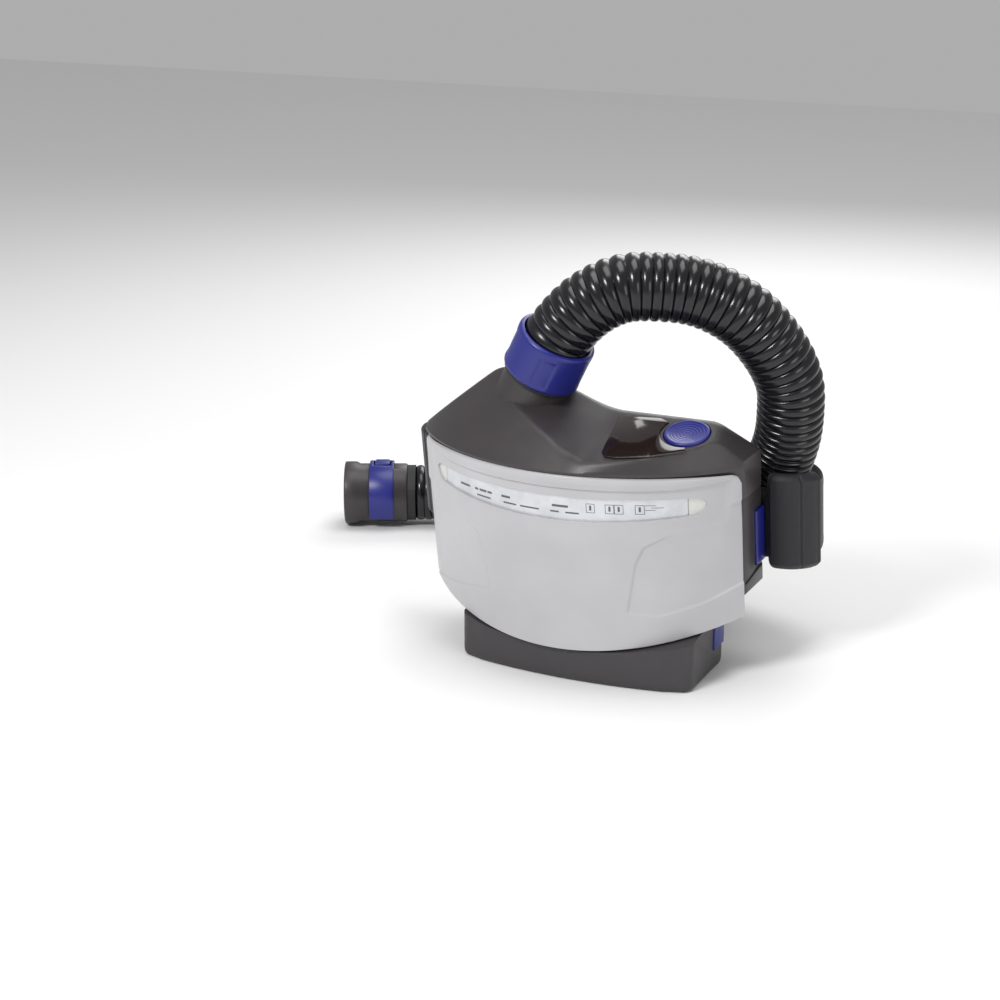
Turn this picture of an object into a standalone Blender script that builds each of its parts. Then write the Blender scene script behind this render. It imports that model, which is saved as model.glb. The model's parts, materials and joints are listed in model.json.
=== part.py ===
"""Belt-worn powered air respirator: blower unit, filter, battery, waist belt and breathing tube.

Lengths are in metres, +Z up. The unit stands on its battery, whose flat underside is at Z = 0.
X runs across the wearer's back, the filter cover faces -Y and the wearer's back is on the +Y side.
Run with blender --background --python part.py, or from the text editor.
"""

import math

import bmesh
import bpy
from mathutils import Matrix, Vector

MM = 0.001
GAP = 0.3 * MM  # between pieces that touch
SLIDE_GAP = 0.6 * MM  # around a piece that slides or swings

# Casing. Everything in the casing is leaned: a point at height z moves back by LEAN * (DATUM_Z - z).
LEAN = 0.16
DATUM_Z = 150 * MM
COVER_WIDTH = 224 * MM
COVER_RISE = 58 * MM  # how far the middle of the bowed front stands before its ends
COVER_WALL = 2.5 * MM
COVER_TOP_Z = 146.5 * MM
COVER_TOP_DROP = 1.4 * MM  # at 100 mm from the middle
COVER_BOTTOM_Z = 22.5 * MM
COVER_BOTTOM_RISE = 17 * MM  # at 100 mm from the middle
CASE_BACK_Y = 40 * MM
CASE_WALL = 2.6 * MM
CASE_FLOOR_Z = 47 * MM
CASE_SPLIT_Z = 126 * MM
CASE_EDGE_Z = 152 * MM  # top edge of the sides and the back
CASE_CORNER = 4 * MM
FRONT_LIP = 0.8 * MM  # the top housing's front stands this far inside the cover's outer face

SCREW_HEAD = 3.4 * MM
SCREW_HEAD_HEIGHT = 2.2 * MM
SCREW_SHANK = 1.8 * MM
SCREW_LENGTH = 9 * MM
SCREW_SUNK = 0.9 * MM

# Window slot in the cover, and the filter behind it
WINDOW_HALF = 96 * MM
WINDOW_TOP_Z = 131.5 * MM
WINDOW_BOTTOM_Z = 114.8 * MM
WINDOW_BOTTOM_RISE = 6 * MM  # at 100 mm from the middle
BAY_HALF_ANGLE = math.radians(45.6)
BAY_FLOOR_Z = 49.6 * MM
BAY_TOP_Z = 141.5 * MM
FILTER_DEPTH = 22 * MM
GASKET_DEPTH = 2.2 * MM
GASKET_ROOM = 0.7 * MM  # the gaps in front of the gasket and behind it
BAY_DEPTH = COVER_WALL + SLIDE_GAP + FILTER_DEPTH + GASKET_DEPTH + GASKET_ROOM
MEDIA_HALF_ANGLE = math.radians(38)
MEDIA_LOW_Z = 61 * MM
MEDIA_HIGH_Z = 107 * MM
PLEATS = 44
LABEL_LOW_Z = 111 * MM
LABEL_HIGH_Z = 136 * MM
LABEL_THICK = 0.3 * MM

# Deck with the button and the display
HUMP_X = 24 * MM  # the deck starts to rise left of this
HUMP_CURVE = 8.5  # rise per square metre of run
HOLLOW_START = 5.5 * MM  # rise at which the front of the hump turns straight
HOLLOW_SLOPE = 0.26
HOLLOW_Y = (-22 * MM, 14 * MM)  # the hollow fades out between these
DECK_RISE = 0.316  # rise per metre towards the back
DECK_X = 77.6 * MM
DECK_Y = -7.4 * MM
DECK_Z = 169.6 * MM
BUTTON_RADIUS = 14.7 * MM
BUTTON_HEIGHT = 3.7 * MM
BUTTON_TRAVEL = 1.5 * MM
BUTTON_POCKET_DEPTH = 6.6 * MM
LENS_THICK = 1.2 * MM
LENS_BUTTON_RADIUS = BUTTON_RADIUS + 2.6 * MM

# Outlet: a spigot tilted to +X, measured along its axis from the collar's lower face
OUTLET_X = -26.5 * MM
OUTLET_Y = 0.0
OUTLET_Z = 196 * MM
OUTLET_TILT = math.radians(27.4)  # to the right
OUTLET_NOD = math.radians(6.4)  # to the front
HOSE_RADIUS = 22 * MM
SPIGOT_RADIUS = HOSE_RADIUS - 1.5 * MM
SPIGOT_BORE = HOSE_RADIUS - 4.5 * MM
SPIGOT_TOP = 10.5 * MM
SPIGOT_ROOT = -22 * MM
SEAL_RADIUS = HOSE_RADIUS + 2.5 * MM
SEAL_HEIGHT = 2.6 * MM
COLLAR_RADIUS = HOSE_RADIUS + 4 * MM
COLLAR_LENGTH = 29 * MM
CUFF_LENGTH = 6.1 * MM

# Blower, its axis along Y
BLOWER_X = 5 * MM
BLOWER_Z = 96 * MM
VOLUTE_FRONT_Y = -3 * MM
VOLUTE_DEPTH = 24 * MM
VOLUTE_WALL = 1.8 * MM
VOLUTE_SMALL = 35 * MM
VOLUTE_LARGE = 47 * MM
VOLUTE_TOP_Z = 140 * MM
INLET_RADIUS = 21 * MM
IMPELLER_RADIUS = 31 * MM
IMPELLER_WIDTH = 15 * MM
BLADES = 22
SHAFT_RADIUS = 2 * MM
BEARING_RADIUS = 6 * MM
MOTOR_RADIUS = 20 * MM
MOTOR_DEPTH = 17 * MM

# Battery
BATTERY_X = 8 * MM
BATTERY_HALF = 82 * MM
BATTERY_FRONT_Y = -34 * MM
BATTERY_FRONT_RISE = 10 * MM
BATTERY_BACK_Y = 50 * MM
BATTERY_HEIGHT = 45 * MM
BATTERY_WALL = 2.2 * MM
BATTERY_LID = 2.4 * MM
FRONT_CORNER = 8 * MM
BACK_CORNER = 16 * MM
CELL_RADIUS = 9.2 * MM
CELL_LENGTH = 65 * MM

# Side latches
COVER_LATCH_Y = (26 * MM, 44 * MM)
COVER_LATCH_Z = (72 * MM, 111 * MM)
BATTERY_LATCH_Y = (20 * MM, 38 * MM)
BATTERY_LATCH_Z = (BATTERY_HEIGHT - 30 * MM, BATTERY_HEIGHT - 10 * MM)
LATCH_THICK = 3.2 * MM
LATCH_TRAVEL = 2.5 * MM

# Waist belt, a rounded rectangle seen from above
BELT_HALF = COVER_WIDTH / 2 + 28 * MM
BELT_FRONT_Y = 45 * MM
BELT_BACK_Y = 130 * MM
BELT_FRONT_RADIUS = 20 * MM
BELT_BACK_RADIUS = 60 * MM
WEBBING_THICK = 1.6 * MM
WEBBING_Z = (72 * MM, 122 * MM)
PAD_THICK = 6 * MM
PAD_Z = (65 * MM, 134 * MM)
PAD_END_Y = 60 * MM
PAD_START_X = COVER_WIDTH / 2 + 2 * MM
BACK_PAD_HALF = 80 * MM
BACK_PAD_THICK = 7 * MM
BRACKET_HALF = 96 * MM
BRACKET_THICK = 3 * MM
BUCKLE_HALF = 32 * MM
SLIDER_X = 52 * MM

# Headtop end of the breathing tube, lying on the floor
CONNECTOR_END = Vector((-284 * MM, 192.5 * MM, 25 * MM))
CONNECTOR_TURN = math.radians(205.4)  # direction of its open end in the XY plane
CONNECTOR_LENGTH = 50 * MM
CONNECTOR_RADIUS = HOSE_RADIUS + 3 * MM
SOCKET_RADIUS = HOSE_RADIUS - 2 * MM
SOCKET_DEPTH = 28 * MM
BAND_THICK = 2 * MM
RELEASE_HALF = 6 * MM
RELEASE_PLACE = 20 * MM  # middle of the release button, from the tube's end of the connector

# The breathing tube's route between its two cuffs
HOSE_ROUTE = (
    (0.0056, -0.001, 0.2426),
    (0.0264, 0.006, 0.2541),
    (0.0482, 0.016, 0.2552),
    (0.0715, 0.027, 0.2514),
    (0.0958, 0.038, 0.2380),
    (0.1138, 0.050, 0.2148),
    (0.1218, 0.060, 0.1917),
    (0.1212, 0.067, 0.1700),
    (0.1168, 0.075, 0.1480),
    (0.1065, 0.083, 0.1230),
    (0.0900, 0.094, 0.0960),
    (0.0680, 0.110, 0.0700),
    (0.0390, 0.132, 0.0430),
    (0.0030, 0.160, 0.0290),
    (-0.0450, 0.194, 0.0255),
    (-0.0950, 0.219, 0.0250),
    (-0.1450, 0.232, 0.0250),
    (-0.1950, 0.229, 0.0250),
)
HOSE_POINTS = 54

COVER_HALF = COVER_WIDTH / 2
COVER_RADIUS = (COVER_HALF**2 + COVER_RISE**2) / (2 * COVER_RISE)
COVER_HALF_ANGLE = math.asin(COVER_HALF / COVER_RADIUS)
ARC_CENTRE_Y = COVER_RADIUS - COVER_RISE
BAY_FRONT = COVER_WALL + SLIDE_GAP / 2
WALL_BACK = BAY_DEPTH + CASE_WALL  # depth of the rear face of the wall behind the filter
COVER_SINK = 1.6 * MM  # gap under the cover, which sinks a little as it starts to swing
OPEN_ROOM = 30 * MM  # how far a cutter runs on into open air
BAY_OPEN = 2 * MM  # how far the filter's space runs out past the cover's outer face
# The hinge leans with the casing, so the filter sinks as it swings forward. The floor slopes with it.
BAY_SLOPE = 1.3 * LEAN
BAY_RISE = BAY_SLOPE * (BAY_DEPTH + BAY_OPEN)
FILTER_LOW_Z = BAY_FLOOR_Z + BAY_RISE
OUTLET_RISE = math.cos(OUTLET_NOD)
OUTLET_AXIS = Vector(
    (
        OUTLET_RISE * math.sin(OUTLET_TILT),
        -math.sin(OUTLET_NOD),
        OUTLET_RISE * math.cos(OUTLET_TILT),
    )
)
DECK_ANGLE = math.atan(DECK_RISE)
CONNECTOR_AXIS = Vector((math.cos(CONNECTOR_TURN), math.sin(CONNECTOR_TURN), 0))


# ---------------------------------------------------------------- shape helpers


def leaned(y, z):
    """Y of a casing point at height z, where y is its place at DATUM_Z."""
    return y + LEAN * (DATUM_Z - z)


def arc_y(x, depth):
    """Y, at DATUM_Z, of the bowed front at x, at a depth inside the cover's outer face."""
    return ARC_CENTRE_Y - math.sqrt((COVER_RADIUS - depth) ** 2 - x * x)


def wrapped(angle, depth, z):
    """A point of the bowed front, by its angle round the bow, its depth and its height."""
    radius = COVER_RADIUS - depth
    return Vector((radius * math.sin(angle), leaned(ARC_CENTRE_Y - radius * math.cos(angle), z), z))


def spread(first, last, count):
    """count + 1 evenly spaced values from first to last."""
    return [first + (last - first) * i / count for i in range(count + 1)]


def mesh_object(name, mesh, surface=None, smooth=None):
    """A new object of this mesh. smooth is the angle, in degrees, above which an edge stays sharp."""
    bmesh.ops.recalc_face_normals(mesh, faces=mesh.faces)
    data = bpy.data.meshes.new(name)
    mesh.to_mesh(data)
    mesh.free()
    if smooth is not None:
        data.shade_smooth()
        data.set_sharp_from_angle(angle=math.radians(smooth))
    piece = bpy.data.objects.new(name, data)
    bpy.context.scene.collection.objects.link(piece)
    if surface is not None:
        data.materials.append(surface)
    return piece


def solid(name, rings, surface=None, wrap=False, smooth=None):
    """One closed piece through equal rings of points. With wrap, the last ring joins the first."""
    mesh = bmesh.new()
    rows = [[mesh.verts.new(point) for point in ring] for ring in rings]
    pairs = list(zip(rows, rows[1:]))
    if wrap:
        pairs.append((rows[-1], rows[0]))
    else:
        mesh.faces.new(rows[0])
        mesh.faces.new(rows[-1])
    for low, high in pairs:
        for here in range(len(low)):
            after = (here + 1) % len(low)
            mesh.faces.new((low[here], low[after], high[after], high[here]))
    return mesh_object(name, mesh, surface, smooth)


def prism(name, outline, z_range, surface=None, lean=False, smooth=None):
    """An outline in XY, extruded from one height to another."""
    rings = [[(x, leaned(y, z) if lean else y, z) for x, y in outline] for z in z_range]
    return solid(name, rings, surface, smooth=smooth)


def plate(name, outline, y_range, surface=None, smooth=None):
    """An outline in XZ, extruded along Y."""
    return solid(name, [[(x, y, z) for x, z in outline] for y in y_range], surface, smooth=smooth)


def box(name, x_range, y_range, z_range, surface=None, lean=False):
    (x0, x1), (y0, y1) = x_range, y_range
    return prism(name, ((x0, y0), (x1, y0), (x1, y1), (x0, y1)), z_range, surface, lean)


def slab(name, half_angle, z_low, z_high, depths, surface=None, steps=24, floor_rise=0.0):
    """A curved slab of the bowed front. z_low and z_high give its edges by x on the outer face.

    floor_rise is how much higher its floor is at the back than at the front.
    """
    rings = []
    for angle in spread(-half_angle, half_angle, steps):
        x = COVER_RADIUS * math.sin(angle)
        low, high = z_low(x), z_high(x)
        rings.append(
            [
                wrapped(angle, depths[0], low),
                wrapped(angle, depths[0], high),
                wrapped(angle, depths[1], high),
                wrapped(angle, depths[1], low + floor_rise),
            ]
        )
    return solid(name, rings, surface, smooth=30)


def level(z):
    """An edge that keeps one height."""
    return lambda x: z


def frame_at(place, axis, up=Vector((0, 0, 1))):
    """The matrix that puts local +Z along axis, at place."""
    side = up.cross(axis)
    side = Vector((1, 0, 0)) if side.length < 1e-6 else side.normalized()
    turn = Matrix((side, axis.cross(side), axis)).transposed()
    return Matrix.Translation(place) @ turn.to_4x4()


def turned(name, profile, place, surface=None, wrap=False, steps=32, smooth=35):
    """A profile of (radius, height) turned about the local Z of place, with its origin there."""
    rings = []
    for radius, height in profile:
        rings.append(
            [
                Vector((radius * math.cos(turn), radius * math.sin(turn), height))
                for turn in spread(0, 2 * math.pi, steps)[:-1]
            ]
        )
    piece = solid(name, rings, surface, wrap, smooth)
    piece.matrix_world = place
    return piece


def ring(name, inner, outer, heights, place, surface=None, steps=32):
    """A plain ring of square section."""
    low, high = heights
    profile = ((inner, low), (outer, low), (outer, high), (inner, high))
    return turned(name, profile, place, surface, wrap=True, steps=steps)


def rod(name, radius, heights, place, surface=None, steps=32):
    return turned(name, [(radius, height) for height in heights], place, surface, steps=steps)


def cut(piece, cutter, operation="DIFFERENCE"):
    """Takes the hidden cutter out of the piece, or joins it on."""
    cutter.hide_render = True
    cutter.display_type = "WIRE"
    modifier = piece.modifiers.new(cutter.name, "BOOLEAN")
    modifier.operation = operation
    modifier.object = cutter
    modifier.solver = "EXACT"
    return piece


def corner_arc(centre, radius, first, last, steps=6):
    """Points round a corner, from one angle to another in degrees."""
    x, y = centre
    turns = [math.radians(turn) for turn in spread(first, last, steps)]
    return [(x + radius * math.cos(turn), y + radius * math.sin(turn)) for turn in turns]


def rounded(half_x, half_y, radius, centre=(0, 0), steps=4):
    """A rounded rectangle."""
    x, y = centre
    points = []
    for turn, side, end in ((0, 1, 1), (90, -1, 1), (180, -1, -1), (270, 1, -1)):
        middle = (x + side * (half_x - radius), y + end * (half_y - radius))
        points += corner_arc(middle, radius, turn, turn + 90, steps)
    return points


def finish(name, colour, roughness, metallic=0.0):
    """A material for one piece."""
    material = bpy.data.materials.new(name)
    material.use_nodes = True
    shader = material.node_tree.nodes["Principled BSDF"]
    shader.inputs["Base Color"].default_value = (*colour, 1.0)
    shader.inputs["Roughness"].default_value = roughness
    shader.inputs["Metallic"].default_value = metallic
    return material


def casing_grey(name):
    return finish(name, (0.070, 0.062, 0.065), 0.5)


def light_grey(name):
    return finish(name, (0.50, 0.49, 0.50), 0.42)


def blue(name):
    return finish(name, (0.030, 0.035, 0.30), 0.4)


def soft_black(name):
    return finish(name, (0.012, 0.012, 0.014), 0.7)


def webbing_black(name):
    return finish(name, (0.014, 0.014, 0.018), 0.85)


def white_plastic(name):
    return finish(name, (0.7, 0.7, 0.68), 0.45)


def bare_steel(name):
    return finish(name, (0.56, 0.56, 0.58), 0.3, 1.0)


def board_green(name):
    return finish(name, (0.02, 0.12, 0.05), 0.5)


# ---------------------------------------------------------------- casing


def smaller(first, second, blend):
    """The lesser of two heights, rounded where they cross."""
    share = max(blend - abs(first - second), 0.0) / blend
    return min(first, second) - share * share * blend / 4


def ramp(value, start, end):
    """0 before start, 1 after end, and a smooth rise between."""
    share = min(max((value - start) / (end - start), 0.0), 1.0)
    return share * share * (3 - 2 * share)


def deck_height(x, y):
    """The sloping deck. It rises into a hump at the left, hollowed in front of the spigot."""
    run = max(HUMP_X - x, 0.0)
    hump = HUMP_CURVE * run**2
    hollow = min(hump, HOLLOW_START + HOLLOW_SLOPE * (run - math.sqrt(HOLLOW_START / HUMP_CURVE)))
    share = ramp(y, HOLLOW_Y[0], HOLLOW_Y[1])
    return DECK_Z + DECK_RISE * (y - DECK_Y) + hollow + (hump - hollow) * share


def front_slope(x, y):
    """The slope up from the cover's top edge: gentle at the left, nearly upright at the right."""
    inside = y - arc_y(x, FRONT_LIP)
    steep = 1.05 + 2.3 * ramp(x, 12 * MM, 55 * MM)
    return COVER_TOP_Z + 1.5 * MM + steep * inside


def top_height(x, y):
    """Height of the top housing's outer surface."""
    back_steep = 1.3 - 0.5 * ramp(x, -20 * MM, 30 * MM)
    height = smaller(deck_height(x, y), CASE_EDGE_Z + back_steep * (CASE_BACK_Y - y), 6 * MM)
    height = smaller(height, CASE_EDGE_Z + 1.2 * (COVER_HALF - x), 8 * MM)
    height = smaller(height, CASE_EDGE_Z + 0.8 * (COVER_HALF + x), 8 * MM)
    height = smaller(height, 197 * MM, 6 * MM)
    height = smaller(height, front_slope(x, y), 2.5 * MM)
    return max(height, COVER_TOP_Z + 1.2 * MM)


def case_back_y(x):
    """Y, at DATUM_Z, of the casing's back, with its rounded rear corners."""
    past = max(abs(x) - (COVER_HALF - CASE_CORNER), 0.0) / CASE_CORNER
    return CASE_BACK_Y - CASE_CORNER * (1 - math.sqrt(max(1 - past * past, 0.0)))


def case_stations(step):
    """X values across the casing, closer together at its rounded ends."""
    inner = COVER_HALF - 2 * CASE_CORNER
    middle = spread(-inner, inner, round(2 * inner / step))
    ends = [COVER_HALF - CASE_CORNER * share for share in (0, 0.06, 0.25, 0.55, 1.0)]
    return [-x for x in ends] + middle + ends[::-1]


def case_bottom_z(x):
    """The rear housing's underside, turned up at its ends."""
    past = max(abs(x) - 93 * MM, 0.0) / (COVER_HALF - 93 * MM)
    return CASE_FLOOR_Z + 12 * MM * past**2


def rear_housing():
    rings = []
    top = CASE_SPLIT_Z - GAP / 2
    for x in case_stations(12 * MM):
        low = case_bottom_z(x)
        front, back = arc_y(x, BAY_FRONT), case_back_y(x)
        corners = ((front, low), (front, top), (back, top), (back, low))
        rings.append([(x, leaned(y, z), z) for y, z in corners])
    piece = solid("rear_housing", rings, casing_grey("rear_housing"), smooth=25)
    cut(piece, filter_bay())
    cut(piece, motor_bay())
    latch_space = latch_recess("cover_latch_recess", COVER_HALF, COVER_LATCH_Y, COVER_LATCH_Z, True)
    cut(piece, latch_space)
    for number, (x, z) in enumerate(screw_places(), 1):
        place = screw_frame(x, z)
        cut(piece, turned(f"screw_hole_{number}", screw_profile(GAP), place, steps=20))
    contact = box("contact_slot", (20 * MM, 56 * MM), (2 * MM, 16 * MM), (40 * MM, 56 * MM))
    return cut(piece, contact)


def filter_bay():
    """The space behind the cover that the filter fills, shared by both housings."""
    found = bpy.data.objects.get("filter_bay")
    if found:
        return found
    # The space runs past the cover's outer face so that its front is open.
    return slab(
        "filter_bay",
        BAY_HALF_ANGLE,
        level(BAY_FLOOR_Z),
        level(BAY_TOP_Z),
        (-BAY_OPEN, BAY_DEPTH),
        floor_rise=BAY_RISE,
    )


def motor_bay():
    """The space for the blower, open at the top."""
    rings = []
    for x in spread(-86 * MM, 86 * MM, 16):
        front, back = arc_y(x, WALL_BACK), CASE_BACK_Y - CASE_WALL
        corners = ((front, 50 * MM), (front, 140 * MM), (back, 140 * MM), (back, 50 * MM))
        rings.append([(x, leaned(y, z), z) for y, z in corners])
    return solid("motor_bay", rings)


def screw_places():
    return [(side * 99 * MM, z) for z in (70 * MM, 116 * MM) for side in (-1, 1)]


def screw_frame(x, z):
    """At the back face, with the screw's axis pointing in towards -Y."""
    return frame_at(Vector((x, leaned(CASE_BACK_Y, z), z)), Vector((0, -1, 0)))


def screw_profile(room):
    """A screw sunk below the back face, or with some room the stepped hole that it sits in."""
    head, shank = SCREW_HEAD + room, SCREW_SHANK + room
    start = -8 * MM if room else SCREW_SUNK
    seat = SCREW_SUNK + SCREW_HEAD_HEIGHT + room
    return (head, start), (head, seat), (shank, seat), (shank, seat + SCREW_LENGTH + room)


def housing_screw(number, x, z):
    name = f"screw_{number}"
    return turned(name, screw_profile(0), screw_frame(x, z), bare_steel(name), steps=20)


def latch_recess(name, face_x, y_range, z_range, lean):
    """The pocket in a side wall that a latch is pressed into."""
    y_room = (y_range[0] - SLIDE_GAP, y_range[1] + SLIDE_GAP)
    z_room = (z_range[0] - SLIDE_GAP, z_range[1] + SLIDE_GAP)
    depth = LATCH_THICK + LATCH_TRAVEL + 2 * SLIDE_GAP
    return box(name, (face_x - depth, face_x + 5 * MM), y_room, z_room, lean=lean)


def latch(name, face_x, y_range, z_range, lean, proud):
    outer = face_x + proud
    return box(name, (outer - LATCH_THICK, outer), y_range, z_range, blue(name), lean=lean)


def top_housing_rings(step, rows):
    rings = []
    lip_z = COVER_TOP_Z + 0.6 * MM
    bottom = CASE_SPLIT_Z + GAP / 2
    for x in case_stations(step):
        front = arc_y(x, FRONT_LIP) + LEAN * (DATUM_Z - lip_z)
        back = case_back_y(x)
        deep_front = arc_y(x, BAY_FRONT)
        points = [(x, leaned(deep_front, bottom), bottom), (x, leaned(deep_front, lip_z), lip_z)]
        points.append((x, front, lip_z))
        for row in range(rows + 1):
            share = row / rows
            share = 0.45 * share + 0.55 * share * share  # closer together near the front edge
            y = front + (back - front) * share
            points.append((x, y, top_height(x, y)))
        points.append((x, leaned(back, bottom), bottom))
        rings.append(points)
    return rings


def top_cavity():
    """The inside of the top housing, under a wall of even thickness."""
    rings = []
    for x in spread(-88 * MM, 88 * MM, 22):
        front, back = arc_y(x, WALL_BACK), CASE_BACK_Y - CASE_WALL
        points = [(x, leaned(back, CASE_SPLIT_Z - 2 * MM), CASE_SPLIT_Z - 2 * MM)]
        points.append((x, leaned(front, CASE_SPLIT_Z - 2 * MM), CASE_SPLIT_Z - 2 * MM))
        for y in spread(leaned(front, CASE_EDGE_Z), leaned(back, CASE_EDGE_Z), 6):
            points.append((x, y, top_height(x, y) - 1.4 * CASE_WALL))
        rings.append(points)
    return solid("top_cavity", rings)


def outlet_frame():
    return frame_at(Vector((OUTLET_X, OUTLET_Y, OUTLET_Z)), OUTLET_AXIS, Vector((0, 1, 0)))


def deck_frame():
    """At the button's centre on the deck, local Z out of the deck, local Y up its slope."""
    normal = Vector((0, -math.sin(DECK_ANGLE), math.cos(DECK_ANGLE)))
    return frame_at(Vector((DECK_X, DECK_Y, DECK_Z)), normal, Vector((0, 1, 0)))


def deck_piece(name, outline, heights, surface=None):
    """An outline on the deck, extruded along the deck's normal."""
    piece = solid(name, [[(x, y, height) for x, y in outline] for height in heights], surface)
    piece.matrix_world = deck_frame()
    return piece


def lens_outline(grow):
    """The display's outline on the deck, measured from the button's centre."""
    around = LENS_BUTTON_RADIUS - grow
    points = [(-50 * MM - grow, 9.6 * MM + grow), (-22 * MM, 12.6 * MM + grow)]
    points += corner_arc((0, 0), around, 150, 285, 9)
    points += [(6.5 * MM + grow, -20.6 * MM), (-14 * MM, -31.6 * MM - grow)]
    points += [(-34 * MM, -37.6 * MM - grow), (-41 * MM - grow, -37 * MM - grow)]
    points.append((-45 * MM - grow, -32 * MM))
    return points


def top_housing():
    rings = top_housing_rings(5.6 * MM, 18)
    piece = solid("top_housing", rings, casing_grey("top_housing"), smooth=32)
    cut(piece, top_cavity())
    cut(piece, filter_bay())
    boss = rod("button_boss", BUTTON_RADIUS + 3 * MM, (-9.2 * MM, -1.2 * MM), deck_frame())
    cut(piece, boss, "UNION")
    seat = (-SEAL_HEIGHT - 2 * GAP, COLLAR_LENGTH)
    cut(piece, rod("outlet_seat", COLLAR_RADIUS + SLIDE_GAP, seat, outlet_frame()))
    cut(piece, rod("spigot", SPIGOT_RADIUS, (SPIGOT_ROOT, SPIGOT_TOP), outlet_frame()), "UNION")
    cut(piece, rod("spigot_bore", SPIGOT_BORE, (2 * SPIGOT_ROOT, 2 * SPIGOT_TOP), outlet_frame()))
    pocket = rod(
        "button_pocket", BUTTON_RADIUS + SLIDE_GAP, (-BUTTON_POCKET_DEPTH, 9 * MM), deck_frame()
    )
    cut(piece, pocket)
    return cut(piece, deck_piece("lens_recess", lens_outline(GAP), (-LENS_THICK - GAP, 9 * MM)))


def display_lens():
    surface = finish("display_lens", (0.03, 0.018, 0.012), 0.08)
    return deck_piece("display_lens", lens_outline(0), (-LENS_THICK, 0.1 * MM), surface)


def power_button():
    profile = (
        (BUTTON_RADIUS - 0.8 * MM, -BUTTON_HEIGHT),
        (BUTTON_RADIUS, -BUTTON_HEIGHT + 0.8 * MM),
        (BUTTON_RADIUS, -0.3 * MM),
        (BUTTON_RADIUS - 0.8 * MM, 0.5 * MM),
        (BUTTON_RADIUS - 2.5 * MM, 0.4 * MM),
        (6 * MM, -0.7 * MM),
        (1 * MM, -0.9 * MM),
    )
    return turned("power_button", profile, deck_frame(), blue("power_button"))


def button_switch():
    floor = -BUTTON_POCKET_DEPTH + GAP
    roof = -BUTTON_HEIGHT - BUTTON_TRAVEL - GAP
    return rod("button_switch", 4 * MM, (floor, roof), deck_frame(), soft_black("button_switch"), 20)


def outlet_seal():
    middle = (SPIGOT_RADIUS + SEAL_RADIUS) / 2
    high = -GAP
    low = high - SEAL_HEIGHT
    profile = (
        (SPIGOT_RADIUS + GAP, low + 0.5 * MM),
        (middle, low),
        (SEAL_RADIUS, low + 0.6 * MM),
        (SEAL_RADIUS, high - 0.6 * MM),
        (middle, high),
        (SPIGOT_RADIUS + GAP, high - 0.5 * MM),
    )
    return turned("outlet_seal", profile, outlet_frame(), soft_black("outlet_seal"), wrap=True)


# ---------------------------------------------------------------- cover and filter


def cover_top_z(x):
    return COVER_TOP_Z - COVER_TOP_DROP * (x / 0.1) ** 4


def cover_bottom_z(x):
    return COVER_BOTTOM_Z + COVER_BOTTOM_RISE * (x / 0.1) ** 2


def window_bottom_z(x):
    return WINDOW_BOTTOM_Z + WINDOW_BOTTOM_RISE * (x / 0.1) ** 2


def filter_cover():
    rings = []
    for angle in spread(-COVER_HALF_ANGLE, COVER_HALF_ANGLE, 32):
        x = COVER_RADIUS * math.sin(angle)
        low, high = cover_bottom_z(x), cover_top_z(x)
        section = (
            (0.6 * MM, low),
            (0, low + 0.8 * MM),
            (0, high - 1.6 * MM),
            (0.5 * MM, high - 0.4 * MM),
            (1.4 * MM, high),
            (COVER_WALL, high),
            (COVER_WALL, low),
        )
        rings.append([wrapped(angle, depth, z) for depth, z in section])
    piece = solid("filter_cover", rings, light_grey("filter_cover"), smooth=30)
    window = slab(
        "cover_window",
        math.asin(WINDOW_HALF / COVER_RADIUS),
        window_bottom_z,
        level(WINDOW_TOP_Z),
        (-2 * MM, COVER_WALL + 2 * MM),
    )
    return cut(piece, window)


def filter_frame():
    front = COVER_WALL + SLIDE_GAP
    half = BAY_HALF_ANGLE - 1.2 * SLIDE_GAP / (10 * MM) * math.radians(15)
    low, high = level(FILTER_LOW_Z + SLIDE_GAP), level(BAY_TOP_Z - 2 * SLIDE_GAP)
    surface = finish("filter_frame", (0.25, 0.26, 0.28), 0.35)
    piece = slab("filter_frame", half, low, high, (front, front + FILTER_DEPTH), surface)
    hole = slab(
        "filter_opening",
        MEDIA_HALF_ANGLE,
        level(MEDIA_LOW_Z),
        level(MEDIA_HIGH_Z),
        (-2 * MM, BAY_DEPTH + 4 * MM),
    )
    cut(piece, hole)
    recess = slab(
        "label_recess",
        label_half_angle() + math.radians(0.3),
        level(LABEL_LOW_Z - GAP),
        level(LABEL_HIGH_Z + GAP),
        (-2 * MM, front + LABEL_THICK + GAP),
    )
    return cut(piece, recess)


def label_half_angle():
    return math.asin(0.9 * WINDOW_HALF / COVER_RADIUS)


def filter_label():
    front = COVER_WALL + SLIDE_GAP
    surface = finish("filter_label", (0.55, 0.56, 0.58), 0.25, 0.6)
    return slab(
        "filter_label",
        label_half_angle(),
        level(LABEL_LOW_Z),
        level(LABEL_HIGH_Z),
        (front, front + LABEL_THICK),
        surface,
    )


def filter_media():
    """A pleated sheet that fills the frame's opening."""
    near, far = 8 * MM, COVER_WALL + FILTER_DEPTH - 3 * MM
    sheet = 1.6 * MM
    room = math.radians(0.4)
    rings = []
    angles = spread(-MEDIA_HALF_ANGLE + room, MEDIA_HALF_ANGLE - room, 2 * PLEATS)
    for number, angle in enumerate(angles):
        depth = near if number % 2 else far
        section = (
            (depth, MEDIA_LOW_Z + GAP),
            (depth, MEDIA_HIGH_Z - GAP),
            (depth + sheet, MEDIA_HIGH_Z - GAP),
            (depth + sheet, MEDIA_LOW_Z + GAP),
        )
        rings.append([wrapped(angle, *place) for place in section])
    return solid("filter_media", rings, white_plastic("filter_media"))


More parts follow.
